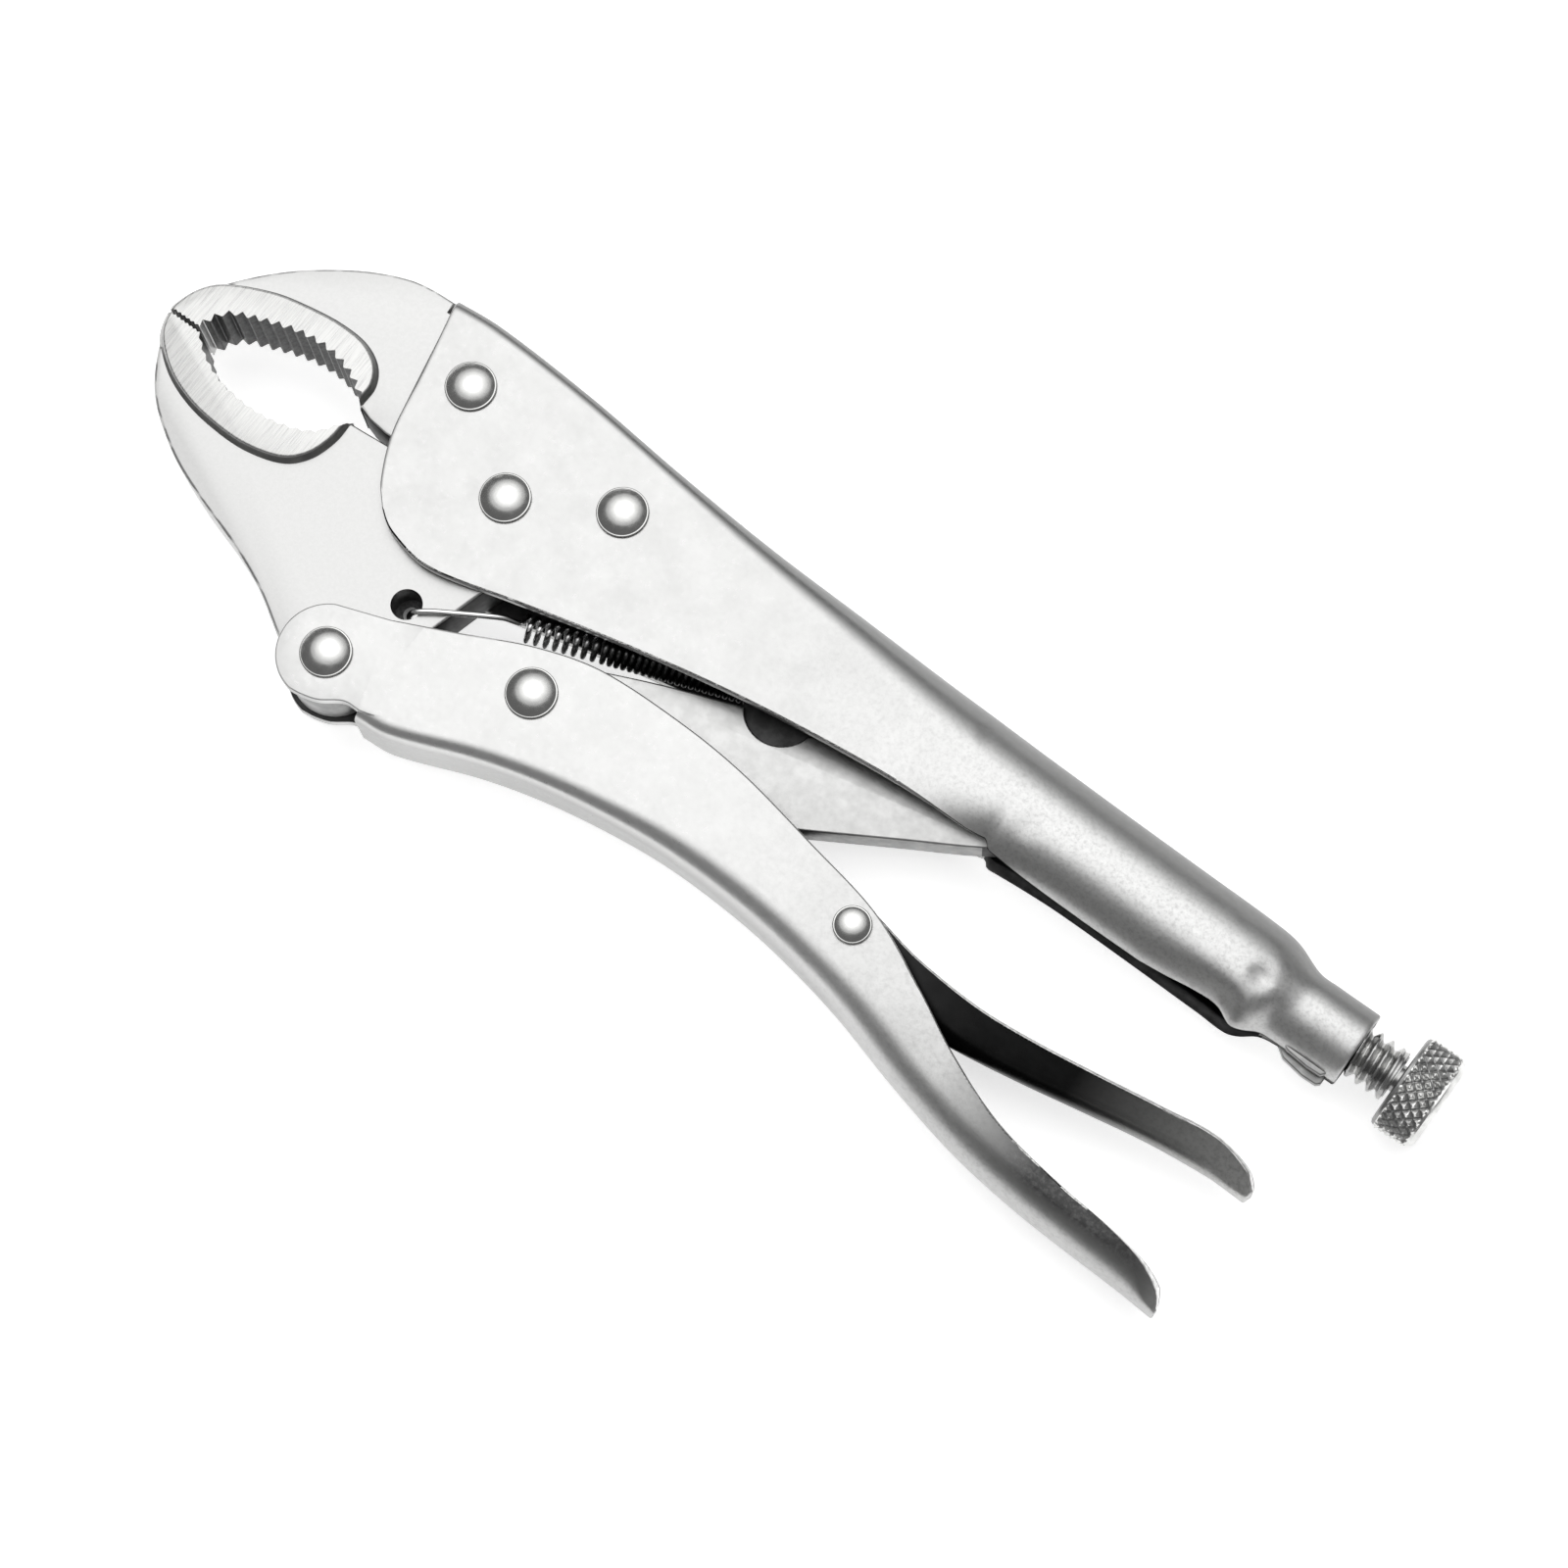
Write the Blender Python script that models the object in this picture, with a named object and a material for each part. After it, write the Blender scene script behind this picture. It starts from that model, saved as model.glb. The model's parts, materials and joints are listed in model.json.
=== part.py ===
"""Curved-jaw locking pliers, 250 mm long, lying on their side with the jaws locked shut.

Design frame: x runs along the adjusting screw from the jaws to the knob, with x = 0 at the jaw
pivot; y = 0 is the screw's axis; z = 0 is the middle plane of the tool.
World frame: +X, +Y and +Z are the same directions, and the origin is the centre of the base.
"""
from math import cos, hypot, pi, radians, sin

import bmesh
import bpy
from mathutils import Matrix, Vector

MM = 0.001

# Place of the design frame in the world.
BASE_X = 56.80 * MM
BASE_Y = -19.21 * MM
MID_Z = 9.445 * MM

# Pivots in the design frame, in millimetres.
JAW_PIVOT = (0.0, -7.9)
LEVER_PIVOT = (-7.4, -46.3)
TOGGLE_PIVOT = (24.2, -32.0)
RELEASE_PIVOT = (89.4, -32.3)
SPRING_HOLE = (-2.6, -31.6)
SPRING_PIN = (58.0, -6.6)
FRONT_JAW_RIVET = (-16.8, 4.3)
REAR_JAW_RIVET = (17.3, 1.5)

# Sheet metal and plates, in millimetres.
SHEET = 2.0
HANDLE_HALF_WIDTH = 7.25
JAW_HALF = 4.75
GRIP_HALF = 6.4
LINK_HALF = 3.0
RELEASE_SHEET = 1.5
SMALLEST_INNER_RADIUS = 0.15
GAP = 0.3

# Rivets, in millimetres.
RIVET_HEAD_RADIUS = 4.4
RIVET_HEAD_HEIGHT = 1.7
RIVET_SHANK_RADIUS = 2.8
SMALL_RIVET_HEAD_RADIUS = 3.2
SMALL_RIVET_HEAD_HEIGHT = 1.2
SMALL_RIVET_SHANK_RADIUS = 1.9
DOME_RINGS = 4

# Jaw teeth, in millimetres.
TOOTH_PITCH = 2.1
UPPER_TOOTH_DEPTH = 0.95
LOWER_TOOTH_DEPTH = 0.4

# Adjusting screw, in millimetres.
THREAD_RADIUS = 4.6
COLLAR_RADIUS = 4.0
COLLAR_LENGTH = 2.4
SCREW_TIP_X = 110.8
SCREW_COLLAR_X = 172.6
KNOB_FRONT_X = 173.2
KNOB_LENGTH = 7.8
KNOB_RADIUS = 8.7
KNOB_CHAMFER = 1.2
KNOB_SPIGOT_RADIUS = 2.5
KNOB_SPIGOT_LENGTH = 5.0

# Return spring, in millimetres.
WIRE_RADIUS = 0.5
COIL_RADIUS = 2.1
COIL_FRONT = (14.0, -22.5)
COIL_TURNS = 24
POINTS_PER_TURN = 8
REAR_HOOK_LENGTH = 6.0


# ---------------------------------------------------------------- tools

def clear_scene():
    for obj in list(bpy.data.objects):
        bpy.data.objects.remove(obj, do_unlink=True)


def material(name, colour, metallic, roughness):
    mat = bpy.data.materials.new(name)
    mat.use_nodes = True
    shader = mat.node_tree.nodes["Principled BSDF"]
    shader.inputs["Base Color"].default_value = (*colour, 1.0)
    shader.inputs["Metallic"].default_value = metallic
    shader.inputs["Roughness"].default_value = roughness
    return mat


def world(x, y, z=0.0):
    """Design millimetres to world metres."""
    return Vector((x * MM - BASE_X, y * MM - BASE_Y, z * MM + MID_Z))


def make_object(name, bm, pivot, mat, smooth_angle=None):
    """Turn design-frame geometry into an object whose origin stands on its own joint axis."""
    bmesh.ops.recalc_face_normals(bm, faces=bm.faces)
    bm.transform(Matrix.Scale(MM, 4) @ Matrix.Translation((-pivot[0], -pivot[1], 0.0)))
    mesh = bpy.data.meshes.new(name)
    bm.to_mesh(mesh)
    bm.free()
    obj = bpy.data.objects.new(name, mesh)
    obj.location = world(*pivot)
    bpy.context.scene.collection.objects.link(obj)
    if mat:
        mesh.materials.append(mat)
    if smooth_angle:
        mesh.shade_smooth()
        mesh.set_sharp_from_angle(angle=radians(smooth_angle))
    return obj


def combine(obj, other, operation, solver='EXACT'):
    """Boolean with a hidden helper object."""
    other.hide_render = True
    other.display_type = 'WIRE'
    modifier = obj.modifiers.new(other.name, 'BOOLEAN')
    modifier.operation = operation
    modifier.solver = solver
    modifier.object = other
    return obj


def arc(centre, radius, start, end, steps):
    """Points on an arc, angles in degrees."""
    points = []
    for i in range(steps + 1):
        angle = radians(start + (end - start) * i / steps)
        points.append((centre[0] + radius * cos(angle), centre[1] + radius * sin(angle)))
    return points


def curve(points, steps=4):
    """Smooth curve through the points (centripetal Catmull-Rom)."""
    pts = [Vector(p) for p in points]
    pts = [2 * pts[0] - pts[1]] + pts + [2 * pts[-1] - pts[-2]]
    out = []
    for i in range(1, len(pts) - 2):
        p0, p1, p2, p3 = pts[i - 1:i + 3]
        t0 = 0.0
        t1 = t0 + (p1 - p0).length ** 0.5
        t2 = t1 + (p2 - p1).length ** 0.5
        t3 = t2 + (p3 - p2).length ** 0.5
        for k in range(steps):
            t = t1 + (t2 - t1) * k / steps
            a1 = p0.lerp(p1, (t - t0) / (t1 - t0))
            a2 = p1.lerp(p2, (t - t1) / (t2 - t1))
            a3 = p2.lerp(p3, (t - t2) / (t3 - t2))
            b1 = a1.lerp(a2, (t - t0) / (t2 - t0))
            b2 = a2.lerp(a3, (t - t1) / (t3 - t1))
            out.append(tuple(b1.lerp(b2, (t - t1) / (t2 - t1))))
    out.append(tuple(pts[-2]))
    return out


def prism(bm, outline, z_low, z_high):
    """Closed plate with the given outline."""
    low = [bm.verts.new((x, y, z_low)) for x, y in outline]
    high = [bm.verts.new((x, y, z_high)) for x, y in outline]
    bm.faces.new(low[::-1])
    bm.faces.new(high)
    count = len(outline)
    for i in range(count):
        j = (i + 1) % count
        bm.faces.new((low[i], low[j], high[j], high[i]))


def plate(name, outline, half, pivot, mat=None):
    bm = bmesh.new()
    prism(bm, outline, -half, half)
    return make_object(name, bm, pivot, mat)


def hole(name, centre, radius, half, pivot, steps=20):
    """Round cutter through the thickness."""
    return plate(name, arc(centre, radius, 0, 360 - 360 / steps, steps - 1), half, pivot)


def loft(bm, rings):
    """Closed skin over rings of the same number of points."""
    loops = [[bm.verts.new(p) for p in ring] for ring in rings]
    count = len(loops[0])
    for a, b in zip(loops, loops[1:]):
        for i in range(count):
            j = (i + 1) % count
            bm.faces.new((a[i], a[j], b[j], b[i]))
    bm.faces.new(loops[0][::-1])
    bm.faces.new(loops[-1])


def turned(bm, profile, axis_point, direction, steps):
    """Solid of revolution; profile holds (distance along the axis, radius) from end to end."""
    forward = Vector(direction).normalized()
    side = forward.orthogonal().normalized()
    other = forward.cross(side)
    rings = []
    for along, radius in profile:
        centre = Vector(axis_point) + forward * along
        ring = []
        for i in range(steps):
            angle = 2 * pi * i / steps
            ring.append(centre + (side * cos(angle) + other * sin(angle)) * radius)
        rings.append(ring)
    loft(bm, rings)


# ---------------------------------------------------------------- sheet-metal channels

def section(turns, steps, sheet):
    """Right-hand half of a bent strip, from the middle of its back to its free edge.

    turns holds (length, bend angle in degrees) for each stretch. Returns the outer and inner
    lines as (down, out) pairs, with the back at down = 0.
    """
    down, out, heading = 0.0, 0.0, 0.0
    outer = [(down, out)]
    inner = [(down + sheet, out)]
    for (length, bend), count in zip(turns, steps):
        for _ in range(count):
            heading += radians(bend) / count / 2
            down += sin(heading) * length / count
            out += cos(heading) * length / count
            heading += radians(bend) / count / 2
            outer.append((down, out))
            inner.append((down + cos(heading) * sheet, out - sin(heading) * sheet))
    return outer, inner


def strip_ring(origin, down_axis, stretches, steps, sheet):
    """Closed ring round a bent strip that is the same on both sides of the middle plane."""
    outer, inner = section(stretches, steps, sheet)
    ring = outer + inner[::-1]
    ring += [(d, -o) for d, o in inner[1:]]
    ring += [(d, -o) for d, o in outer[:0:-1]]
    points = []
    for down, out in ring:
        points.append(Vector((origin[0] + down_axis[0] * down, origin[1] + down_axis[1] * down, out)))
    return points


def stations(table, count):
    """Rows between the rows of a table, on a smooth curve through each column."""
    rows = []
    for i in range(len(table) - 1):
        before = table[max(i - 1, 0)]
        here = table[i]
        there = table[i + 1]
        after = table[min(i + 2, len(table) - 1)]
        span = there[0] - here[0]
        for k in range(count):
            t = k / count
            row = []
            for b, h, n, a in zip(before, here, there, after):
                slope_here = (n - b) / max(there[0] - before[0], 0.001) * span
                slope_there = (a - h) / max(after[0] - here[0], 0.001) * span
                row.append((2 * t ** 3 - 3 * t ** 2 + 1) * h + (t ** 3 - 2 * t ** 2 + t) * slope_here
                           + (3 * t ** 2 - 2 * t ** 3) * n + (t ** 3 - t ** 2) * slope_there)
            rows.append(row)
    rows.append(list(table[-1]))
    return rows


# ---------------------------------------------------------------- fixed handle

# x, top of the back, bottom of the sides, half width, corner radius, curl angle, curl length,
# lip length, sheet thickness.
HANDLE_STATIONS = [
    (-33.0, 15.0, -29.0, 7.25, 2.6, 0.0, 3.0, 1.0, 2.0),
    (-20.0, 16.3, -29.0, 7.25, 2.6, 0.0, 3.0, 1.0, 2.0),
    (0.0, 15.2, -27.0, 7.25, 2.6, 0.0, 3.0, 1.0, 2.0),
    (20.0, 13.2, -22.0, 7.25, 3.0, 0.0, 3.0, 1.0, 2.0),
    (40.0, 11.8, -17.0, 7.6, 4.4, 0.0, 3.0, 1.0, 2.0),
    (60.0, 11.3, -14.0, 8.3, 6.6, 0.0, 3.0, 1.0, 2.0),
    (78.0, 10.75, -12.0, 9.1, 8.5, 2.0, 3.0, 1.0, 2.0),
    (88.0, 10.5, -11.0, 9.4, 9.1, 14.0, 6.0, 0.4, 2.0),
    (98.0, 10.2, -10.0, 9.4, 9.3, 46.0, 8.4, 0.3, 2.0),
    (106.0, 10.0, -9.5, 9.4, 9.3, 72.0, 10.0, 0.3, 2.0),
    (114.0, 9.8, -9.2, 9.4, 9.3, 79.0, 11.0, 0.3, 2.0),
    (128.0, 9.5, -9.2, 9.4, 9.2, 77.0, 10.7, 0.3, 2.0),
    (143.0, 9.2, -9.3, 9.3, 9.1, 73.0, 10.1, 0.3, 2.0),
    (148.0, 8.7, -8.8, 8.6, 8.5, 78.0, 10.0, 0.2, 1.9),
    (153.5, 6.7, -6.9, 6.65, 6.6, 84.0, 9.7, 0.1, 1.7),
    (157.0, 6.6, -6.8, 6.6, 6.55, 84.0, 9.68, 0.1, 1.7),
    (165.2, 6.6, -6.8, 6.6, 6.55, 84.0, 9.68, 0.1, 1.7),
]
FRONT_EDGE = [(-28.6, 15.9), (-27.9, 13.0), (-25.1, 1.5), (-22.6, -9.7), (-18.8, -17.6),
              (-11.4, -23.6), (-2.1, -24.9)]
LOWER_EDGE = [(-2.1, -24.9), (11.4, -21.4), (35.4, -15.7), (55.0, -12.2), (78.4, -9.6), (98.5, -8.9)]
CLOSED_TUBE_X = 99.3


def handle_rings(between):
    rings = []
    for x, top, bottom, half, corner, curl, curl_length, lip, sheet in stations(HANDLE_STATIONS, between):
        bend = radians(max(curl, 0.5))
        curl_drop = curl_length / bend * sin(bend)
        cheek = max(top - bottom - corner - curl_drop - lip * cos(bend), 0.2)
        stretches = [(max(half - corner, 0.05), 0), (corner * pi / 2, 90), (cheek, 0),
                     (curl_length, curl), (lip, 0)]
        rings.append(strip_ring((x, top), (0, -1), stretches, (1, 6, 1, 5, 1), sheet))
    return rings


def fixed_handle():
    steel = material("handle_steel", (0.78, 0.78, 0.77), 1.0, 0.35)
    bm = bmesh.new()
    loft(bm, handle_rings(2))
    shell = make_object("fixed_handle", bm, JAW_PIVOT, steel, 35)
    profile = curve(FRONT_EDGE, 3)[:-1] + curve(LOWER_EDGE, 2)
    profile += [(CLOSED_TUBE_X, -14.0), (170.0, -14.0), (170.0, 25.0), (-28.6, 25.0)]
    combine(shell, plate("handle_side_profile", profile, 20.0, JAW_PIVOT), 'INTERSECT')
    bm = bmesh.new()
    for side in (-1, 1):
        prism(bm, [(154.6, -6.2), (156.4, -8.4), (163.0, -8.7), (164.6, -6.2)],
              *sorted((side * 0.45, side * 2.1)))
    combine(shell, make_object("neck_lips", bm, JAW_PIVOT, None), 'UNION', 'MANIFOLD')
    bm = bmesh.new()
    for centre in (JAW_PIVOT, FRONT_JAW_RIVET, REAR_JAW_RIVET):
        prism(bm, arc(centre, RIVET_SHANK_RADIUS + GAP, 0, 342, 19), -9.0, 9.0)
    combine(shell, make_object("handle_rivet_holes", bm, JAW_PIVOT, None), 'DIFFERENCE')
    return shell


def spring_pin():
    """Cross pin inside the handle that holds the rear hook of the return spring."""
    steel = material("pin_steel", (0.6, 0.6, 0.6), 1.0, 0.35)
    bm = bmesh.new()
    half = 5.7
    turned(bm, [(0, 1.0), (0.3, 1.3), (2 * half - 0.3, 1.3), (2 * half, 1.0)],
           (SPRING_PIN[0], SPRING_PIN[1], -half), (0, 0, 1), 16)
    return make_object("spring_anchor_pin", bm, SPRING_PIN, steel, 40)


# ---------------------------------------------------------------- jaws

MOUTH_TOP = [(-61.0, -13.9), (-58.6, -9.7), (-52.6, -6.9), (-46.4, -5.0), (-40.6, -4.6),
             (-35.2, -5.9), (-31.0, -8.3)]
MOUTH_BOTTOM = [(-60.4, -14.5), (-56.8, -17.2), (-51.4, -19.3), (-44.4, -19.9), (-38.0, -18.9),
                (-33.6, -16.8), (-30.3, -12.6)]


def toothed(points, tooth_depth):
    """Saw-tooth line that follows a smooth curve; the tips lie on the curve."""
    fine = curve(points, 12)
    lengths = [0.0]
    for a, b in zip(fine, fine[1:]):
        lengths.append(lengths[-1] + hypot(b[0] - a[0], b[1] - a[1]))
    total = lengths[-1]
    teeth = round(total / TOOTH_PITCH)
    out = []
    for k in range(2 * teeth + 1):
        target = total * k / (2 * teeth)
        i = max(j for j in range(len(lengths)) if lengths[j] <= target + 1e-9)
        i = min(i, len(fine) - 2)
        t = (target - lengths[i]) / (lengths[i + 1] - lengths[i])
        x = fine[i][0] + (fine[i + 1][0] - fine[i][0]) * t
        y = fine[i][1] + (fine[i + 1][1] - fine[i][1]) * t
        dx = fine[i + 1][0] - fine[i][0]
        dy = fine[i + 1][1] - fine[i][1]
        size = hypot(dx, dy)
        depth = tooth_depth * (k % 2)
        out.append((x - dy / size * depth, y + dx / size * depth))
    return out


def fixed_jaw():
    steel = material("jaw_steel", (0.72, 0.72, 0.71), 1.0, 0.4)
    nose = [(-67.4, -13.9), (-67.2, -12.2), (-66.0, -8.8), (-64.0, -5.8), (-60.0, -0.8),
            (-55.2, 4.0), (-49.9, 8.1), (-44.3, 11.6), (-38.0, 14.3), (-33.8, 15.1), (-29.6, 15.3)]
    tang = [(-29.2, 13.2), (-20.0, 13.6), (0.0, 12.6), (20.0, 10.5), (24.0, 8.0)]
    tang += arc(REAR_JAW_RIVET, 8.0, 20, -80, 5)
    hub = arc(JAW_PIVOT, 12.6, 14, 188, 14)
    mouth_side = [(-24.2, -10.1), (-28.0, -9.7), (-30.2, -9.0), (-34.0, -14.6), (-60.0, -16.0), (-66.9, -15.2)]
    jaw = plate("fixed_jaw", curve(nose, 2) + tang + hub + mouth_side, JAW_HALF, JAW_PIVOT, steel)
    grip = [(-66.9, -14.8), (-67.4, -13.6), (-67.2, -12.2), (-66.0, -8.8), (-63.4, -5.6), (-55.2, -1.5),
            (-48.8, 0.0), (-42.0, 0.8), (-36.4, 0.3), (-32.6, -1.8), (-30.8, -4.8), (-30.7, -8.2)]
    grip = curve(grip, 2) + [(-34.6, -13.6), (-60.0, -15.0)]
    combine(jaw, plate("fixed_grip", grip, GRIP_HALF, JAW_PIVOT), 'UNION')
    mouth = [(-72.0, -14.0), (-67.4, -14.0)] + toothed(MOUTH_TOP, UPPER_TOOTH_DEPTH)
    mouth += [(-28.4, -11.6), (-34.0, -24.0), (-72.0, -24.0)]
    combine(jaw, plate("fixed_mouth", mouth, 9.0, JAW_PIVOT), 'DIFFERENCE')
    bm = bmesh.new()
    for centre in (FRONT_JAW_RIVET, REAR_JAW_RIVET):
        prism(bm, arc(centre, RIVET_SHANK_RADIUS + GAP, 0, 342, 19), -9.0, 9.0)
    combine(jaw, make_object("fixed_jaw_holes", bm, JAW_PIVOT, None), 'DIFFERENCE')
    return jaw


def movable_jaw():
    steel = material("moving_jaw_steel", (0.72, 0.72, 0.71), 1.0, 0.4)
    belly = [(-67.2, -14.4), (-66.5, -17.3), (-65.4, -19.9), (-62.2, -25.2), (-59.0, -28.6), (-54.0, -32.1),
             (-49.2, -34.7), (-41.5, -37.6), (-32.8, -40.3), (-24.6, -43.7), (-16.6, -48.4)]
    heel = arc(LEVER_PIVOT, 7.6, 200, 360, 9)
    rear = [(2.6, -36.0), (3.8, -31.8), (6.8, -21.2), (8.6, -17.0)]
    hub = arc(JAW_PIVOT, 12.2, -36, 194, 18)
    mouth_side = [(-23.4, -11.5), (-27.0, -11.8), (-29.9, -12.0), (-34.0, -10.6), (-60.0, -10.6), (-66.9, -12.6)]
    jaw = plate("movable_jaw", curve(belly, 2) + heel + rear + hub + mouth_side, JAW_HALF, JAW_PIVOT, steel)
    grip = [(-66.8, -13.2), (-67.2, -14.4), (-66.3, -17.6), (-64.4, -20.0), (-59.9, -23.2), (-54.5, -25.2),
            (-48.4, -26.1), (-41.4, -26.0), (-34.6, -23.9), (-31.6, -20.6), (-30.2, -15.9), (-30.2, -12.2)]
    grip = curve(grip, 2) + [(-34.6, -11.4), (-60.0, -11.4)]
    combine(jaw, plate("moving_grip", grip, GRIP_HALF, JAW_PIVOT), 'UNION')
    mouth = [(-72.0, -14.5), (-67.2, -14.5)] + toothed(MOUTH_BOTTOM, -LOWER_TOOTH_DEPTH)
    mouth += [(-29.0, -10.8), (-34.0, -4.0), (-72.0, -4.0)]
    combine(jaw, plate("moving_mouth", mouth[::-1], 9.0, JAW_PIVOT), 'DIFFERENCE')
    bm = bmesh.new()
    for centre, radius in ((JAW_PIVOT, RIVET_SHANK_RADIUS + GAP), (LEVER_PIVOT, RIVET_SHANK_RADIUS + GAP),
                           (SPRING_HOLE, 2.7)):
        prism(bm, arc(centre, radius, 0, 342, 19), -9.0, 9.0)
    combine(jaw, make_object("moving_jaw_holes", bm, JAW_PIVOT, None), 'DIFFERENCE')
    return jaw


# ---------------------------------------------------------------- lever

# web x, web y, free edge x, free edge y, half width, corner radius, bend angle.
LEVER_STATIONS = [
    (3.0, -52.4, 3.0, -33.2, 7.25, 2.6, 90),
    (9.0, -51.8, 9.0, -30.4, 7.25, 2.8, 90),
    (23.0, -46.6, 20.0, -25.2, 7.25, 3.0, 90),
    (33.0, -43.8, 31.0, -22.1, 7.25, 3.2, 90),
    (44.0, -41.8, 46.0, -21.5, 7.25, 3.6, 90),
    (56.0, -40.6, 60.0, -22.4, 7.25, 4.4, 90),
    (68.0, -40.7, 76.0, -25.3, 7.25, 5.2, 90),
    (80.0, -41.8, 91.0, -28.4, 7.25, 5.8, 89),
    (94.0, -44.4, 104.0, -34.2, 7.2, 6.4, 88),
    (109.0, -48.5, 115.0, -39.9, 7.1, 6.4, 82),
    (123.0, -51.6, 127.0, -44.4, 7.0, 5.8, 72),
    (136.0, -53.1, 140.0, -46.5, 6.9, 5.5, 67),
    (148.0, -53.6, 150.0, -47.4, 6.7, 5.6, 64),
    (157.0, -53.8, 157.5, -48.9, 6.2, 5.4, 58),
    (161.5, -53.9, 161.8, -51.2, 5.2, 1.8, 50),
    (163.4, -54.0, 163.4, -53.0, 3.6, 0.7, 50),
]


def channel_rings(table, between, corner_steps, sheet):
    """Rings of a channel: web point, free-edge point, half width, corner radius and bend angle."""
    rings = []
    for web_x, web_y, edge_x, edge_y, half, corner, bend in stations(table, between):
        depth = hypot(edge_x - web_x, edge_y - web_y)
        axis = ((edge_x - web_x) / depth, (edge_y - web_y) / depth)
        wall = min(sheet, depth * 0.8)
        corner = max(corner, wall + SMALLEST_INNER_RADIUS)
        turn = radians(bend)
        side = max((depth - corner * (1 - cos(turn))) / sin(turn), 0.1)
        back = max(half - corner * sin(turn) - side * cos(turn), 0.1)
        stretches = [(back, 0), (corner * turn, bend), (side, 0)]
        rings.append(strip_ring((web_x, web_y), axis, stretches, (1, corner_steps, 1), wall))
    return rings


def lever():
    steel = material("lever_steel", (0.80, 0.80, 0.79), 1.0, 0.35)
    bm = bmesh.new()
    loft(bm, channel_rings(LEVER_STATIONS, 2, 5, SHEET))
    channel = make_object("lever_handle", bm, LEVER_PIVOT, steel, 35)
    ear = arc(LEVER_PIVOT, 8.5, 118, 262, 10)
    ear += curve([(-7.0, -54.6), (-3.6, -53.6), (0.2, -51.2), (3.2, -51.0)], 3)[1:]
    ear += [(12.0, -48.2), (14.0, -40.0), (14.0, -27.9), (8.5, -30.6), (-2.3, -35.6)]
    bm = bmesh.new()
    for side in (-1, 1):
        prism(bm, ear, *sorted((side * (HANDLE_HALF_WIDTH - SHEET), side * HANDLE_HALF_WIDTH)))
    combine(channel, make_object("lever_ears", bm, LEVER_PIVOT, None), 'UNION')
    bm = bmesh.new()
    for centre, radius in ((LEVER_PIVOT, RIVET_SHANK_RADIUS), (TOGGLE_PIVOT, RIVET_SHANK_RADIUS),
                           (RELEASE_PIVOT, SMALL_RIVET_SHANK_RADIUS)):
        prism(bm, arc(centre, radius + GAP, 0, 342, 19), -9.0, 9.0)
    combine(channel, make_object("lever_holes", bm, LEVER_PIVOT, None), 'DIFFERENCE')
    return channel


# ---------------------------------------------------------------- toggle link and release lever

def toggle_link():
    steel = material("link_steel", (0.75, 0.75, 0.74), 1.0, 0.4)
    outline = arc(TOGGLE_PIVOT, 8.0, 130, 285, 10)
    outline += [(60.0, -31.2), (73.3, -23.4), (86.9, -15.4), (98.0, -8.9), (103.6, -4.8)]
    outline += arc((104.0, 0.0), 3.4, -60, 100, 6)
    outline += [(84.0, -2.6), (66.5, -9.0)]
    outline += arc((58.0, -9.2), 6.2, -12, -148, 8)
    outline += [(51.8, -12.8), (40.1, -17.1), (31.9, -20.6), (24.0, -24.2)]
    link = plate("toggle_link", outline, LINK_HALF, TOGGLE_PIVOT, steel)
    cutter = hole("toggle_link_hole", TOGGLE_PIVOT, RIVET_SHANK_RADIUS + GAP, 9.0, TOGGLE_PIVOT)
    return combine(link, cutter, 'DIFFERENCE')


RELEASE_STATIONS = [
    (72.0, -31.6, 73.0, -26.8, 5.0, 1.8, 90),
    (80.0, -35.4, 81.0, -27.0, 5.0, 2.0, 90),
    (90.0, -38.2, 90.0, -28.0, 5.0, 2.2, 84),
    (101.0, -38.9, 101.0, -30.2, 5.0, 3.6, 75),
    (113.0, -37.9, 113.0, -31.0, 5.0, 3.7, 69),
    (124.0, -36.2, 123.5, -30.2, 5.0, 3.7, 66),
    (136.0, -33.9, 134.5, -28.7, 5.0, 3.9, 63),
    (147.0, -31.9, 145.5, -27.0, 5.0, 3.9, 62),
    (157.0, -30.8, 156.0, -25.7, 5.0, 3.8, 61),
    (162.0, -30.6, 162.3, -27.2, 4.6, 1.8, 52),
    (164.6, -30.6, 164.9, -29.2, 3.4, 0.8, 52),
]


def release_lever():
    steel = material("release_steel", (0.45, 0.45, 0.45), 1.0, 0.4)
    bm = bmesh.new()
    loft(bm, channel_rings(RELEASE_STATIONS, 2, 4, RELEASE_SHEET))
    channel = make_object("release_lever", bm, RELEASE_PIVOT, steel, 35)
    cutter = hole("release_hole", RELEASE_PIVOT, SMALL_RIVET_SHANK_RADIUS + GAP, 9.0, RELEASE_PIVOT)
    return combine(channel, cutter, 'DIFFERENCE')


# ---------------------------------------------------------------- rivets

def rivet(name, centre, head_radius, head_height, shank_radius, half_width, mat):
    """Shank with a domed head on each side."""
    seat = half_width + 0.2
    dome = (head_radius ** 2 + head_height ** 2) / (2 * head_height)
    head = []
    for i in range(DOME_RINGS):
        radius = head_radius * (1 - i / DOME_RINGS) ** 0.7
        height = (dome ** 2 - radius ** 2) ** 0.5 - (dome - head_height)
        head.append((seat + height, radius))
    profile = [(-along, radius) for along, radius in head[::-1]]
    profile += [(-seat, shank_radius), (seat, shank_radius)]
    profile += head
    bm = bmesh.new()
    turned(bm, profile, (centre[0], centre[1], 0.0), (0, 0, 1), 20)
    return make_object(name, bm, centre, mat, 40)


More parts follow.
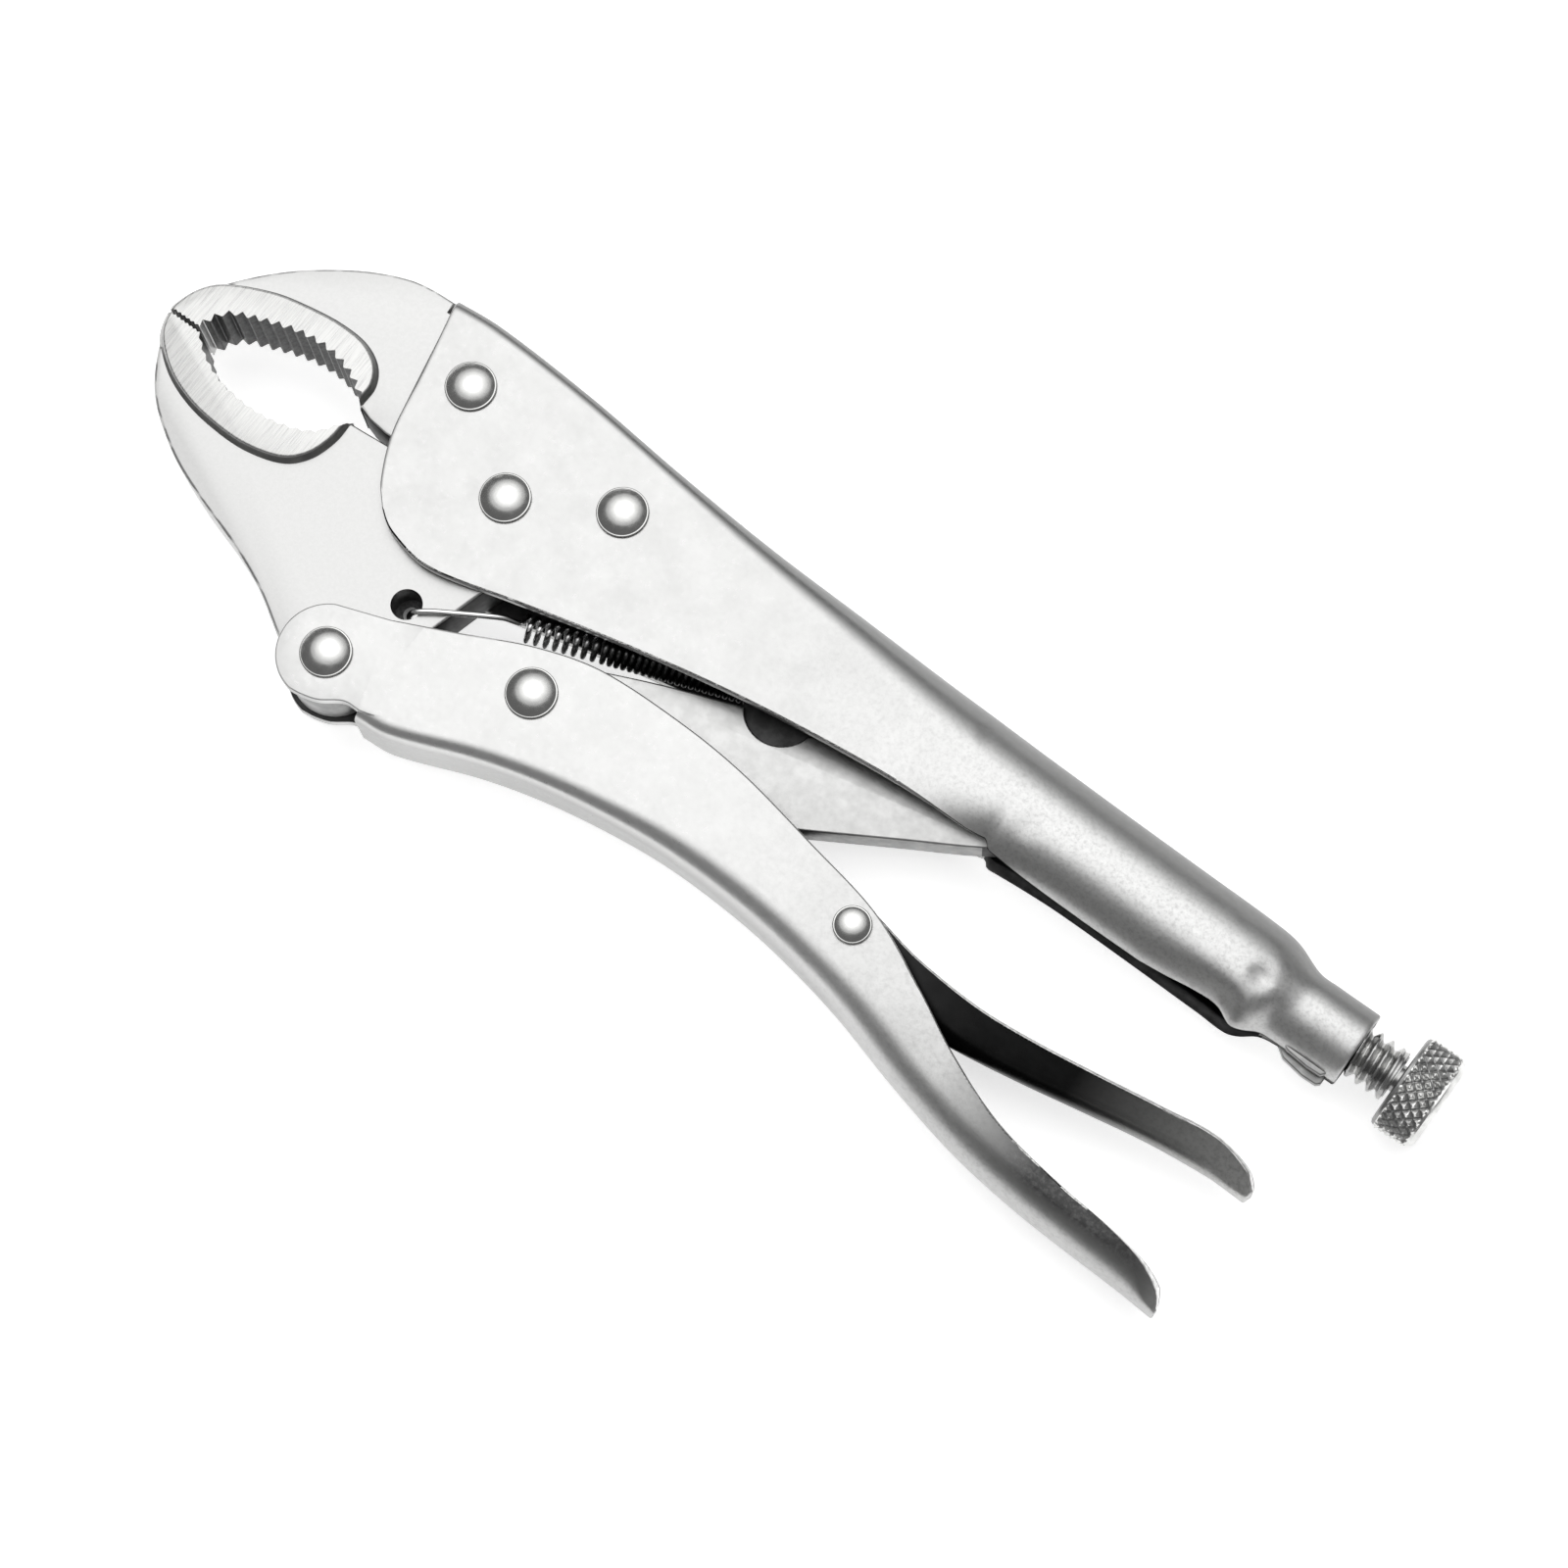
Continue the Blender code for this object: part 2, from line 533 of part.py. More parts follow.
def rivets():
    steel = material("rivet_steel", (0.65, 0.65, 0.65), 1.0, 0.15)
    big = (RIVET_HEAD_RADIUS, RIVET_HEAD_HEIGHT, RIVET_SHANK_RADIUS)
    small = (SMALL_RIVET_HEAD_RADIUS, SMALL_RIVET_HEAD_HEIGHT, SMALL_RIVET_SHANK_RADIUS)
    rivet("fixed_jaw_front_rivet", FRONT_JAW_RIVET, *big, HANDLE_HALF_WIDTH, steel)
    rivet("fixed_jaw_rear_rivet", REAR_JAW_RIVET, *big, HANDLE_HALF_WIDTH, steel)
    rivet("jaw_pivot_rivet", JAW_PIVOT, *big, HANDLE_HALF_WIDTH, steel)
    rivet("lever_pivot_rivet", LEVER_PIVOT, *big, HANDLE_HALF_WIDTH, steel)
    rivet("toggle_rivet", TOGGLE_PIVOT, *big, HANDLE_HALF_WIDTH, steel)
    rivet("release_rivet", RELEASE_PIVOT, *small, HANDLE_HALF_WIDTH, steel)


# ---------------------------------------------------------------- adjusting screw

def adjusting_screw():
    steel = material("screw_steel", (0.35, 0.35, 0.35), 1.0, 0.4)
    length = SCREW_COLLAR_X - SCREW_TIP_X
    neck = length - COLLAR_LENGTH
    profile = [(0.0, 3.2), (0.8, THREAD_RADIUS), (neck - 0.2, THREAD_RADIUS), (neck, COLLAR_RADIUS),
               (length, COLLAR_RADIUS), (length, KNOB_SPIGOT_RADIUS),
               (length + KNOB_SPIGOT_LENGTH, KNOB_SPIGOT_RADIUS)]
    bm = bmesh.new()
    turned(bm, profile, (SCREW_TIP_X, 0, 0), (1, 0, 0), 28)
    return make_object("adjusting_screw", bm, (SCREW_TIP_X, 0.0), steel, 40)


def knob():
    steel = material("knob_steel", (0.45, 0.45, 0.44), 1.0, 0.4)
    bore = KNOB_SPIGOT_RADIUS + GAP
    profile = [(KNOB_SPIGOT_LENGTH + 0.2, bore), (0.0, bore), (0.0, KNOB_RADIUS - 0.5), (0.5, KNOB_RADIUS),
               (KNOB_LENGTH - KNOB_CHAMFER, KNOB_RADIUS), (KNOB_LENGTH, KNOB_RADIUS - KNOB_CHAMFER)]
    bm = bmesh.new()
    turned(bm, profile, (KNOB_FRONT_X, 0, 0), (1, 0, 0), 40)
    return make_object("knurled_knob", bm, (KNOB_FRONT_X, 0.0), steel, 40)


# ---------------------------------------------------------------- return spring

def return_spring():
    """Tension coil between the jaw's hole and the pin in the handle, with a hook at each end."""
    steel = material("spring_steel", (0.55, 0.55, 0.55), 1.0, 0.25)
    start = Vector((*COIL_FRONT, 0.0))
    pin = Vector((SPRING_PIN[0], SPRING_PIN[1], 0.0))
    forward = (pin - start).normalized()
    across = Vector((-forward.y, forward.x, 0.0))
    up = Vector((0, 0, 1))
    coil_length = (pin - start).length - REAR_HOOK_LENGTH
    path = [Vector((-3.2, -30.6, -1.5)), Vector((-2.6, -30.4, 2.5)), Vector((-1.6, -30.0, 5.4)),
            Vector((1.4, -28.0, 5.5)), Vector((7.2, -25.2, 5.4)), Vector((11.6, -23.3, 3.4))]
    steps = COIL_TURNS * POINTS_PER_TURN
    for i in range(steps + 1):
        angle = 2 * pi * i / POINTS_PER_TURN
        centre = start + forward * (coil_length * i / steps)
        path.append(centre + (up * cos(angle) + across * sin(angle)) * COIL_RADIUS)
    for i in range(7):
        angle = radians(160 - 50 * i)
        path.append(pin + (forward * cos(angle) + across * sin(angle)) * 2.15)
    curve_data = bpy.data.curves.new("return_spring", 'CURVE')
    curve_data.dimensions = '3D'
    curve_data.bevel_depth = WIRE_RADIUS * MM
    curve_data.bevel_resolution = 0
    curve_data.use_fill_caps = True
    curve_data.render_resolution_u = 0
    spline = curve_data.splines.new('POLY')
    spline.points.add(len(path) - 1)
    for point, place in zip(spline.points, path):
        offset = (place - start) * MM
        point.co = (offset.x, offset.y, offset.z, 1.0)
    curve_data.materials.append(steel)
    obj = bpy.data.objects.new("return_spring", curve_data)
    obj.location = world(start.x, start.y, 0.0)
    bpy.context.scene.collection.objects.link(obj)
    return obj


clear_scene()
fixed_handle()
fixed_jaw()
spring_pin()
movable_jaw()
lever()
toggle_link()
release_lever()
rivets()
adjusting_screw()
knob()
return_spring()
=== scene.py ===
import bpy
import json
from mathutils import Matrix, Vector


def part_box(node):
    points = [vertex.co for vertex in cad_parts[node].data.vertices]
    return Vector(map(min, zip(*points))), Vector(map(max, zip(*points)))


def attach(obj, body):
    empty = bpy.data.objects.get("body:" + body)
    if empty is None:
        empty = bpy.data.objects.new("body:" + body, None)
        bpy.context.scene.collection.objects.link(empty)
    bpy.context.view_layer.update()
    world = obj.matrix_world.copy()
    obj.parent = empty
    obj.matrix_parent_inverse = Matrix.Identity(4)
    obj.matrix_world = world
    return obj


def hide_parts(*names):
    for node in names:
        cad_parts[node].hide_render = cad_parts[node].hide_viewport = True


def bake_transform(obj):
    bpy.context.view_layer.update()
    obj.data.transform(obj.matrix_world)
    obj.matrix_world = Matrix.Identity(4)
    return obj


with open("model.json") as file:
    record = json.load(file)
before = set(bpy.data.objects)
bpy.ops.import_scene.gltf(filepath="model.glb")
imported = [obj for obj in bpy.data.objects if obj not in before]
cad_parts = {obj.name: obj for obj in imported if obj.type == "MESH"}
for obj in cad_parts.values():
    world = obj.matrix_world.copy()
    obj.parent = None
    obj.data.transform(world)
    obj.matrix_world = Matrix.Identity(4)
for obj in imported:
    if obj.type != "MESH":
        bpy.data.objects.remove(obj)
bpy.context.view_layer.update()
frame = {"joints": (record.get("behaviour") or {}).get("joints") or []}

import json
from math import cos, hypot, pi, radians, sin

import bmesh
import bpy
from mathutils import Matrix, Vector

MM = 0.001

# ---------------------------------------------------------------- places, from the frame
# Design millimetres: x = 0 at the jaw pivot, y = 0 on the screw's axis, z = 0 in the middle plane.

JOINTS = {joint["name"]: joint for joint in frame["joints"]}
SCREW_LOW, SCREW_HIGH = [Vector(corner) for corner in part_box("adjusting_screw")]
KNOB_LOW, KNOB_HIGH = [Vector(corner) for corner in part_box("knurled_knob")]
LINK_LOW, LINK_HIGH = [Vector(corner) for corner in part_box("toggle_link")]
SCREW_MIDDLE = (SCREW_LOW + SCREW_HIGH) / 2
BASE = Vector((JOINTS["jaw_pivot"]["pos_m"][0], SCREW_MIDDLE.y, SCREW_MIDDLE.z))


def design(place):
    """World metres to design millimetres."""
    offset = (Vector(place) - BASE) / MM
    return (offset.x, offset.y)


def middle(node):
    low, high = [Vector(corner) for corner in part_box(node)]
    return design((low + high) / 2)


JAW_PIVOT = design(JOINTS["jaw_pivot"]["pos_m"])
LEVER_PIVOT = design(JOINTS["lever_pivot"]["pos_m"])
TOGGLE_PIVOT = design(JOINTS["toggle_pivot"]["pos_m"])
RELEASE_PIVOT = design(JOINTS["release_pivot"]["pos_m"])
FRONT_JAW_RIVET = middle("fixed_jaw_front_rivet")
REAR_JAW_RIVET = middle("fixed_jaw_rear_rivet")
SPRING_PIN = middle("spring_anchor_pin")
SPRING_HOLE = (JAW_PIVOT[0] - 2.6, JAW_PIVOT[1] - 23.7)
SPRING_HOLE_RADIUS = 2.7

# Sheet, half widths and edge rounding, in millimetres.
SHEET = 2.0
HANDLE_HALF_WIDTH = 7.25
JAW_HALF = 4.75
GRIP_HALF = 6.4
LINK_HALF = (LINK_HIGH.z - LINK_LOW.z) / 2 / MM
EDGE_ROUND = 0.32


# ---------------------------------------------------------------- mesh tools

def finish_object(name, bm, smooth_angle=40):
    """Design millimetres to a shaded world object."""
    bmesh.ops.recalc_face_normals(bm, faces=bm.faces)
    bm.transform(Matrix.Translation(BASE) @ Matrix.Scale(MM, 4))
    mesh = bpy.data.meshes.new(name)
    bm.to_mesh(mesh)
    bm.free()
    mesh.shade_smooth()
    mesh.set_sharp_from_angle(angle=radians(smooth_angle))
    obj = bpy.data.objects.new(name, mesh)
    bpy.context.scene.collection.objects.link(obj)
    return obj


def boolean(obj, helper, operation, solver='EXACT'):
    """Applies a boolean with a helper object, and removes the helper."""
    modifier = obj.modifiers.new("boolean", 'BOOLEAN')
    modifier.operation = operation
    modifier.solver = solver
    modifier.object = helper
    bpy.context.view_layer.update()
    result = bpy.data.meshes.new_from_object(obj.evaluated_get(bpy.context.evaluated_depsgraph_get()))
    obj.modifiers.remove(modifier)
    old = obj.data
    result.name = old.name
    obj.data = result
    bpy.data.meshes.remove(old)
    bpy.data.objects.remove(helper, do_unlink=True)


def smooth_by_angle(obj, angle=40):
    obj.data.shade_smooth()
    obj.data.set_sharp_from_angle(angle=radians(angle))


def arc(centre, radius, start, end, steps):
    """Points on an arc, angles in degrees."""
    points = []
    for i in range(steps + 1):
        angle = radians(start + (end - start) * i / steps)
        points.append((centre[0] + radius * cos(angle), centre[1] + radius * sin(angle)))
    return points


def curve(points, steps=8):
    """Smooth curve through the points (centripetal Catmull-Rom)."""
    pts = [Vector(p) for p in points]
    pts = [2 * pts[0] - pts[1]] + pts + [2 * pts[-1] - pts[-2]]
    out = []
    for i in range(1, len(pts) - 2):
        p0, p1, p2, p3 = pts[i - 1:i + 3]
        t1 = (p1 - p0).length ** 0.5
        t2 = t1 + (p2 - p1).length ** 0.5
        t3 = t2 + (p3 - p2).length ** 0.5
        for k in range(steps):
            t = t1 + (t2 - t1) * k / steps
            a1 = p0.lerp(p1, t / t1)
            a2 = p1.lerp(p2, (t - t1) / (t2 - t1))
            a3 = p2.lerp(p3, (t - t2) / (t3 - t2))
            b1 = a1.lerp(a2, t / t2)
            b2 = a2.lerp(a3, (t - t1) / (t3 - t1))
            out.append(tuple(b1.lerp(b2, (t - t1) / (t2 - t1))))
    out.append(tuple(pts[-2]))
    return out


def value_at(table, x):
    """Second column of a table at x, on a smooth curve through the rows."""
    if x <= table[0][0]:
        return table[0][1]
    if x >= table[-1][0]:
        return table[-1][1]
    i = max(k for k in range(len(table) - 1) if table[k][0] <= x)
    before, here = table[max(i - 1, 0)], table[i]
    there, after = table[i + 1], table[min(i + 2, len(table) - 1)]
    span = there[0] - here[0]
    t = (x - here[0]) / span
    rise_here = (there[1] - before[1]) / (there[0] - before[0]) * span
    rise_there = (after[1] - here[1]) / (after[0] - here[0]) * span
    return ((2 * t ** 3 - 3 * t ** 2 + 1) * here[1] + (t ** 3 - 2 * t ** 2 + t) * rise_here
            + (3 * t ** 2 - 2 * t ** 3) * there[1] + (t ** 3 - t ** 2) * rise_there)


def row_at(table, x):
    """All columns of a table at x."""
    row = [x]
    for column in range(1, len(table[0])):
        row.append(value_at([(r[0], r[column]) for r in table], x))
    return row


def offset_outline(outline, distance):
    """The outline moved out by a distance (in, if negative), for anticlockwise points."""
    count = len(outline)
    out = []
    for i, (x, y) in enumerate(outline):
        ax, ay = outline[i - 1]
        bx, by = outline[(i + 1) % count]
        before = Vector((x - ax, y - ay)).normalized()
        after = Vector((bx - x, by - y)).normalized()
        normal = Vector((before.y, -before.x)) + Vector((after.y, -after.x))
        size = max(normal.length, 0.6)
        normal /= size
        scale = min(2 / size, 2.0) if size else 1.0
        out.append((x + normal.x * distance * scale, y + normal.y * distance * scale))
    return out


def anticlockwise(outline):
    area = sum(a[0] * b[1] - b[0] * a[1] for a, b in zip(outline, outline[1:] + outline[:1]))
    return outline if area > 0 else outline[::-1]


def stack(bm, layers):
    """Closed solid from outlines at rising heights: [(z, outline), ...]."""
    rings = [[bm.verts.new((x, y, z)) for x, y in outline] for z, outline in layers]
    count = len(rings[0])
    for a, b in zip(rings, rings[1:]):
        for i in range(count):
            j = (i + 1) % count
            bm.faces.new((a[i], a[j], b[j], b[i]))
    bm.faces.new(rings[0][::-1])
    bm.faces.new(rings[-1])


def rounded_plate(bm, outline, low, high, radius, steps=3):
    """Plate whose rims are rounded."""
    outline = anticlockwise(outline)
    lower = []
    for i in range(steps + 1):
        angle = pi / 2 * i / steps
        lower.append((radius * (1 - cos(angle)), offset_outline(outline, -radius * (1 - sin(angle)))))
    layers = [(low + rise, ring) for rise, ring in lower]
    layers += [(high - rise, ring) for rise, ring in lower[::-1]]
    stack(bm, layers)


def prism(bm, outline, low, high):
    stack(bm, [(low, anticlockwise(outline)), (high, anticlockwise(outline))])


def skin(bm, rings, caps=True):
    """Closed skin over rings of the same number of points."""
    loops = [[bm.verts.new(p) for p in ring] for ring in rings]
    count = len(loops[0])
    for a, b in zip(loops, loops[1:]):
        for i in range(count):
            j = (i + 1) % count
            bm.faces.new((a[i], a[j], b[j], b[i]))
    if caps:
        bm.faces.new(loops[0][::-1])
        bm.faces.new(loops[-1])


def turned(bm, profile, start, direction, steps):
    """Solid of revolution; profile holds (distance along the axis, radius) from end to end."""
    forward = Vector(direction).normalized()
    side = forward.orthogonal().normalized()
    other = forward.cross(side)
    rings = []
    for along, radius in profile:
        centre = Vector(start) + forward * along
        ring = []
        for i in range(steps):
            angle = 2 * pi * i / steps
            ring.append(centre + (side * cos(angle) + other * sin(angle)) * radius)
        rings.append(ring)
    skin(bm, rings)


def bore(obj, centres, radius, half=12.0, steps=32):
    """Round holes right through a piece."""
    bm = bmesh.new()
    for centre in centres:
        prism(bm, arc(centre, radius, 0, 360 - 360 / steps, steps - 1), -half, half)
    boolean(obj, finish_object("bore", bm), 'DIFFERENCE')


# ---------------------------------------------------------------- sheet-metal strips

def strip_section(stretches, counts, sheet, inset=0.0):
    """Half of a bent strip's cross-section, from the middle of its back round its free edge.

    stretches holds (length, bend angle). The free edge is rounded, and inset thins the sheet
    from both faces. Returns (down, out) points of the outer face and of the inner face.
    """
    down, out, heading = 0.0, 0.0, 0.0
    path = [(down, out, heading)]
    for (length, bend), count in zip(stretches, counts):
        for k in range(count):
            part = 1 / count
            if bend == 0 and count > 4:
                part = sin(pi / 2 * (k + 1) / count) - sin(pi / 2 * k / count)
            heading += radians(bend) * part / 2
            down += sin(heading) * length * part
            out += cos(heading) * length * part
            heading += radians(bend) * part / 2
            path.append((down, out, heading))
    ends = ((EDGE_ROUND, 0.0), (EDGE_ROUND * 0.35, EDGE_ROUND * 0.35), (0.0, EDGE_ROUND))
    down, out, heading = path.pop()
    for back, thin in ends:
        path.append((down - sin(heading) * back, out - cos(heading) * back, heading, thin))
    outer, inner = [], []
    for point in path:
        down, out, heading = point[:3]
        thin = max(inset, point[3] if len(point) > 3 else 0.0)
        outer.append((down + cos(heading) * thin, out - sin(heading) * thin))
        depth = sheet - thin
        inner.append((down + cos(heading) * depth, out - sin(heading) * depth))
    return outer, inner


def both_sides(outer, inner):
    """Whole ring from its right half."""
    ring = outer + inner[::-1]
    ring += [(d, -o) for d, o in inner[1:]]
    ring += [(d, -o) for d, o in outer[:0:-1]]
    return ring


def end_insets(rings_of, first, last, step, round_start=True):
    """Rings with rounded ends: rings_of(position, inset) is called along first..last."""
    count = max(2, round((last - first) / step))
    rings = [rings_of(first, EDGE_ROUND), rings_of(first + EDGE_ROUND * 0.35, EDGE_ROUND * 0.35)]
    if not round_start:
        rings = [rings_of(first, 0.0)]
    rings += [rings_of(first + EDGE_ROUND + (last - first - 2 * EDGE_ROUND) * i / count, 0.0)
              for i in range(count + 1)]
    rings += [rings_of(last - EDGE_ROUND * 0.35, EDGE_ROUND * 0.35), rings_of(last, EDGE_ROUND)]
    return rings


# ---------------------------------------------------------------- fixed handle

# x, top of the back, half width, corner radius, curl angle, curl length, lip length, sheet.
HANDLE_STATIONS = [
    (-30.0, 15.6, 7.25, 2.6, 0.0, 3.0, 1.0, 2.0),
    (-20.0, 16.3, 7.25, 2.6, 0.0, 3.0, 1.0, 2.0),
    (0.0, 15.2, 7.25, 2.6, 0.0, 3.0, 1.0, 2.0),
    (20.0, 13.2, 7.25, 3.0, 0.0, 3.0, 1.0, 2.0),
    (40.0, 11.8, 7.6, 4.4, 0.0, 3.0, 1.0, 2.0),
    (60.0, 11.3, 8.3, 6.6, 0.0, 3.0, 1.0, 2.0),
    (78.0, 10.75, 9.1, 8.5, 0.0, 3.0, 1.0, 2.0),
    (88.0, 10.5, 9.4, 9.1, 12.0, 6.0, 0.4, 2.0),
    (98.0, 10.2, 9.4, 9.3, 42.0, 8.0, 0.3, 2.0),
    (106.0, 10.0, 9.4, 9.3, 70.0, 9.8, 0.3, 2.0),
    (114.0, 9.8, 9.4, 9.3, 79.0, 11.0, 0.3, 2.0),
    (128.0, 9.5, 9.4, 9.2, 77.0, 10.7, 0.3, 2.0),
    (143.0, 9.2, 9.3, 9.1, 73.0, 10.1, 0.3, 2.0),
    (148.0, 8.7, 8.6, 8.5, 78.0, 10.0, 0.2, 1.9),
    (153.5, 6.7, 6.65, 6.6, 84.0, 9.7, 0.1, 1.7),
    (157.0, 6.6, 6.6, 6.55, 84.0, 9.68, 0.1, 1.7),
    (165.2, 6.6, 6.6, 6.55, 84.0, 9.68, 0.1, 1.7),
]
LOWER_EDGE = [(-15.6, -21.2), (-13.6, -22.7), (-11.4, -23.7), (-6.0, -24.9), (-2.1, -24.8), (3.0, -23.7),
              (11.4, -21.4), (35.4, -15.7), (55.0, -12.2), (78.4, -9.6), (94.0, -9.0), (97.0, -8.5),
              (98.2, -8.3), (99.2, -9.3), (101.0, -9.4), (114.0, -9.2), (141.0, -9.3), (146.5, -9.5),
              (148.6, -8.8), (151.0, -7.3), (153.5, -6.9), (157.0, -6.8), (165.2, -6.8)]
# y and x of the front edge, from its lowest point up.
FRONT_EDGE = [(-21.2, -15.6), (-17.6, -18.8), (-9.7, -22.6), (1.5, -25.1), (13.0, -27.9), (15.6, -28.6)]
FRONT_TOP_X = -28.6
FAN_END_X = 40.0
# x and height of the opening in the seam before the neck, where the near edge stands up from the far one.
LENS_OPENING = [(129.0, 0.0), (134.0, 0.5), (139.0, 1.2), (143.5, 1.3), (146.5, 0.1), (149.0, 0.0)]
# Press marks where the tube narrows to its neck: place, reach and depth.
DENTS = [((146.5, -1.5, 8.8), 3.0, 0.5), ((149.5, 4.0, 6.4), 3.4, 0.2), ((145.0, -6.5, 6.4), 2.6, 0.5),
         ((151.6, -3.6, 6.0), 2.2, 0.4), ((139.5, 6.0, 6.8), 3.0, 0.12), ((147.5, 1.5, -8.8), 2.6, 0.4),
         ((144.0, -5.0, -7.6), 2.6, 0.4), ((103.0, -3.0, 9.0), 3.4, 0.25), ((88.0, 6.0, 8.4), 2.4, 0.2)]


def handle_ring(x, inset):
    _, top, half, corner, curl, curl_length, lip, sheet = row_at(HANDLE_STATIONS, x)
    lean = max(0.0, (FAN_END_X - x) / (FAN_END_X - FRONT_TOP_X)) ** 1.5
    foot_x = x + lean * (FRONT_EDGE[0][1] - FRONT_TOP_X)
    bottom = value_at(LOWER_EDGE, foot_x)
    bend = radians(max(curl, 0.5))
    cheek = max(top - bottom - corner - curl_length / bend * sin(bend) - lip * cos(bend), 0.2)
    stretches = [(max(half - corner, 0.05), 0), (corner * pi / 2, 90), (cheek, 0), (curl_length, curl),
                 (lip, 0)]
    if curl < 2.5:
        stretches = [stretches[0], stretches[1], (cheek + curl_length + lip, 0)]
        counts = (2, 10, 28)
    else:
        counts = (2, 10, 18, 8, 2)
    ring = []
    for down, out in both_sides(*strip_section(stretches, counts, sheet, inset)):
        y = top - down
        if out > 0 and y < -4.5:
            y += value_at(LENS_OPENING, x) * min(1.0, (-4.5 - y) / 3.5)
        place = Vector((x + lean * (value_at(FRONT_EDGE, y) - FRONT_TOP_X), y, out))
        for centre, reach, depth in DENTS:
            share = (place - Vector(centre)).length / reach
            if share < 1:
                place -= Vector((0, y, out)).normalized() * depth * (1 - share * share) ** 2
        ring.append(place)
    return ring


def fixed_handle():
    bm = bmesh.new()
    skin(bm, end_insets(handle_ring, FRONT_TOP_X, 165.2, 0.6))
    shell = finish_object("handle_shell", bm)
    bore(shell, (JAW_PIVOT, FRONT_JAW_RIVET, REAR_JAW_RIVET), 3.2)
    smooth_by_angle(shell)
    return shell


def neck_lips():
    """Two ends of the sheet under the neck; the far one reaches lower than the near one."""
    near = [(154.8, -6.0), (156.2, -7.0), (160.2, -7.4), (162.8, -7.3), (163.4, -6.6), (163.4, -5.6),
            (156.0, -5.6)]
    far = [(154.0, -6.2), (156.4, -7.9), (160.4, -8.5), (163.0, -8.4), (163.6, -7.8), (163.6, -5.6),
           (156.0, -5.6)]
    bm = bmesh.new()
    rounded_plate(bm, near, 0.5, 2.1, 0.25)
    rounded_plate(bm, far, -2.1, -0.4, 0.25)
    return finish_object("neck_lips", bm)


# ---------------------------------------------------------------- jaws

MOUTH_TOP = [(-61.0, -13.9), (-58.6, -9.7), (-52.6, -6.9), (-46.4, -5.0), (-40.6, -4.6), (-35.2, -5.9),
             (-31.0, -8.3)]
MOUTH_BOTTOM = [(-60.4, -14.5), (-56.8, -17.2), (-51.4, -19.3), (-44.4, -19.9), (-38.0, -18.9), (-33.6, -16.8),
                (-30.3, -12.6)]
TOOTH_PITCH = 2.1
UPPER_TOOTH_DEPTH = 0.95
LOWER_TOOTH_DEPTH = 0.4
NOSE_PITCH = 0.9
NOSE_DEPTH = 0.28


def saw_line(points, pitch, depth, side):
    """Saw-tooth line along a smooth curve, with blunt tips that lie on the curve."""
    fine = curve(points, 16)
    lengths = [0.0]
    for a, b in zip(fine, fine[1:]):
        lengths.append(lengths[-1] + hypot(b[0] - a[0], b[1] - a[1]))
    total = lengths[-1]
    teeth = round(total / pitch)
    out = []
    for k in range(teeth):
        for share, level in ((-0.07, 0.12), (0.07, 0.12), (0.46, 1.0), (0.54, 1.0)):
            target = min(max(total * (k + share) / teeth, 0.0), total)
            i = min(max(j for j in range(len(lengths)) if lengths[j] <= target + 1e-9), len(fine) - 2)
            t = (target - lengths[i]) / (lengths[i + 1] - lengths[i])
            dx, dy = fine[i + 1][0] - fine[i][0], fine[i + 1][1] - fine[i][1]
            size = hypot(dx, dy)
            reach = side * depth * level
            out.append((fine[i][0] + dx * t - dy / size * reach, fine[i][1] + dy * t + dx / size * reach))
    out.append(fine[-1])
    return out


def jaw_blank(name, body, pad, mouth):
    """Flat body with a raised pad whose walls slope, and the toothed mouth cut out."""
    bm = bmesh.new()
    rounded_plate(bm, body, -JAW_HALF, JAW_HALF, 0.6)
    jaw = finish_object(name, bm)
    pad = anticlockwise(pad)
    slope = [(GRIP_HALF, -0.75), (GRIP_HALF - 0.08, -0.5), (GRIP_HALF - 0.3, -0.3), (5.4, -0.08),
             (4.95, 0.12), (4.6, 0.5)]
    bm = bmesh.new()
    layers = [(-z, offset_outline(pad, d)) for z, d in slope]
    layers += [(z, offset_outline(pad, d)) for z, d in slope[::-1]]
    stack(bm, layers)
    boolean(jaw, finish_object("pad", bm), 'UNION')
    bm = bmesh.new()
    prism(bm, mouth, -9, 9)
    boolean(jaw, finish_object("mouth", bm), 'DIFFERENCE')
    return jaw


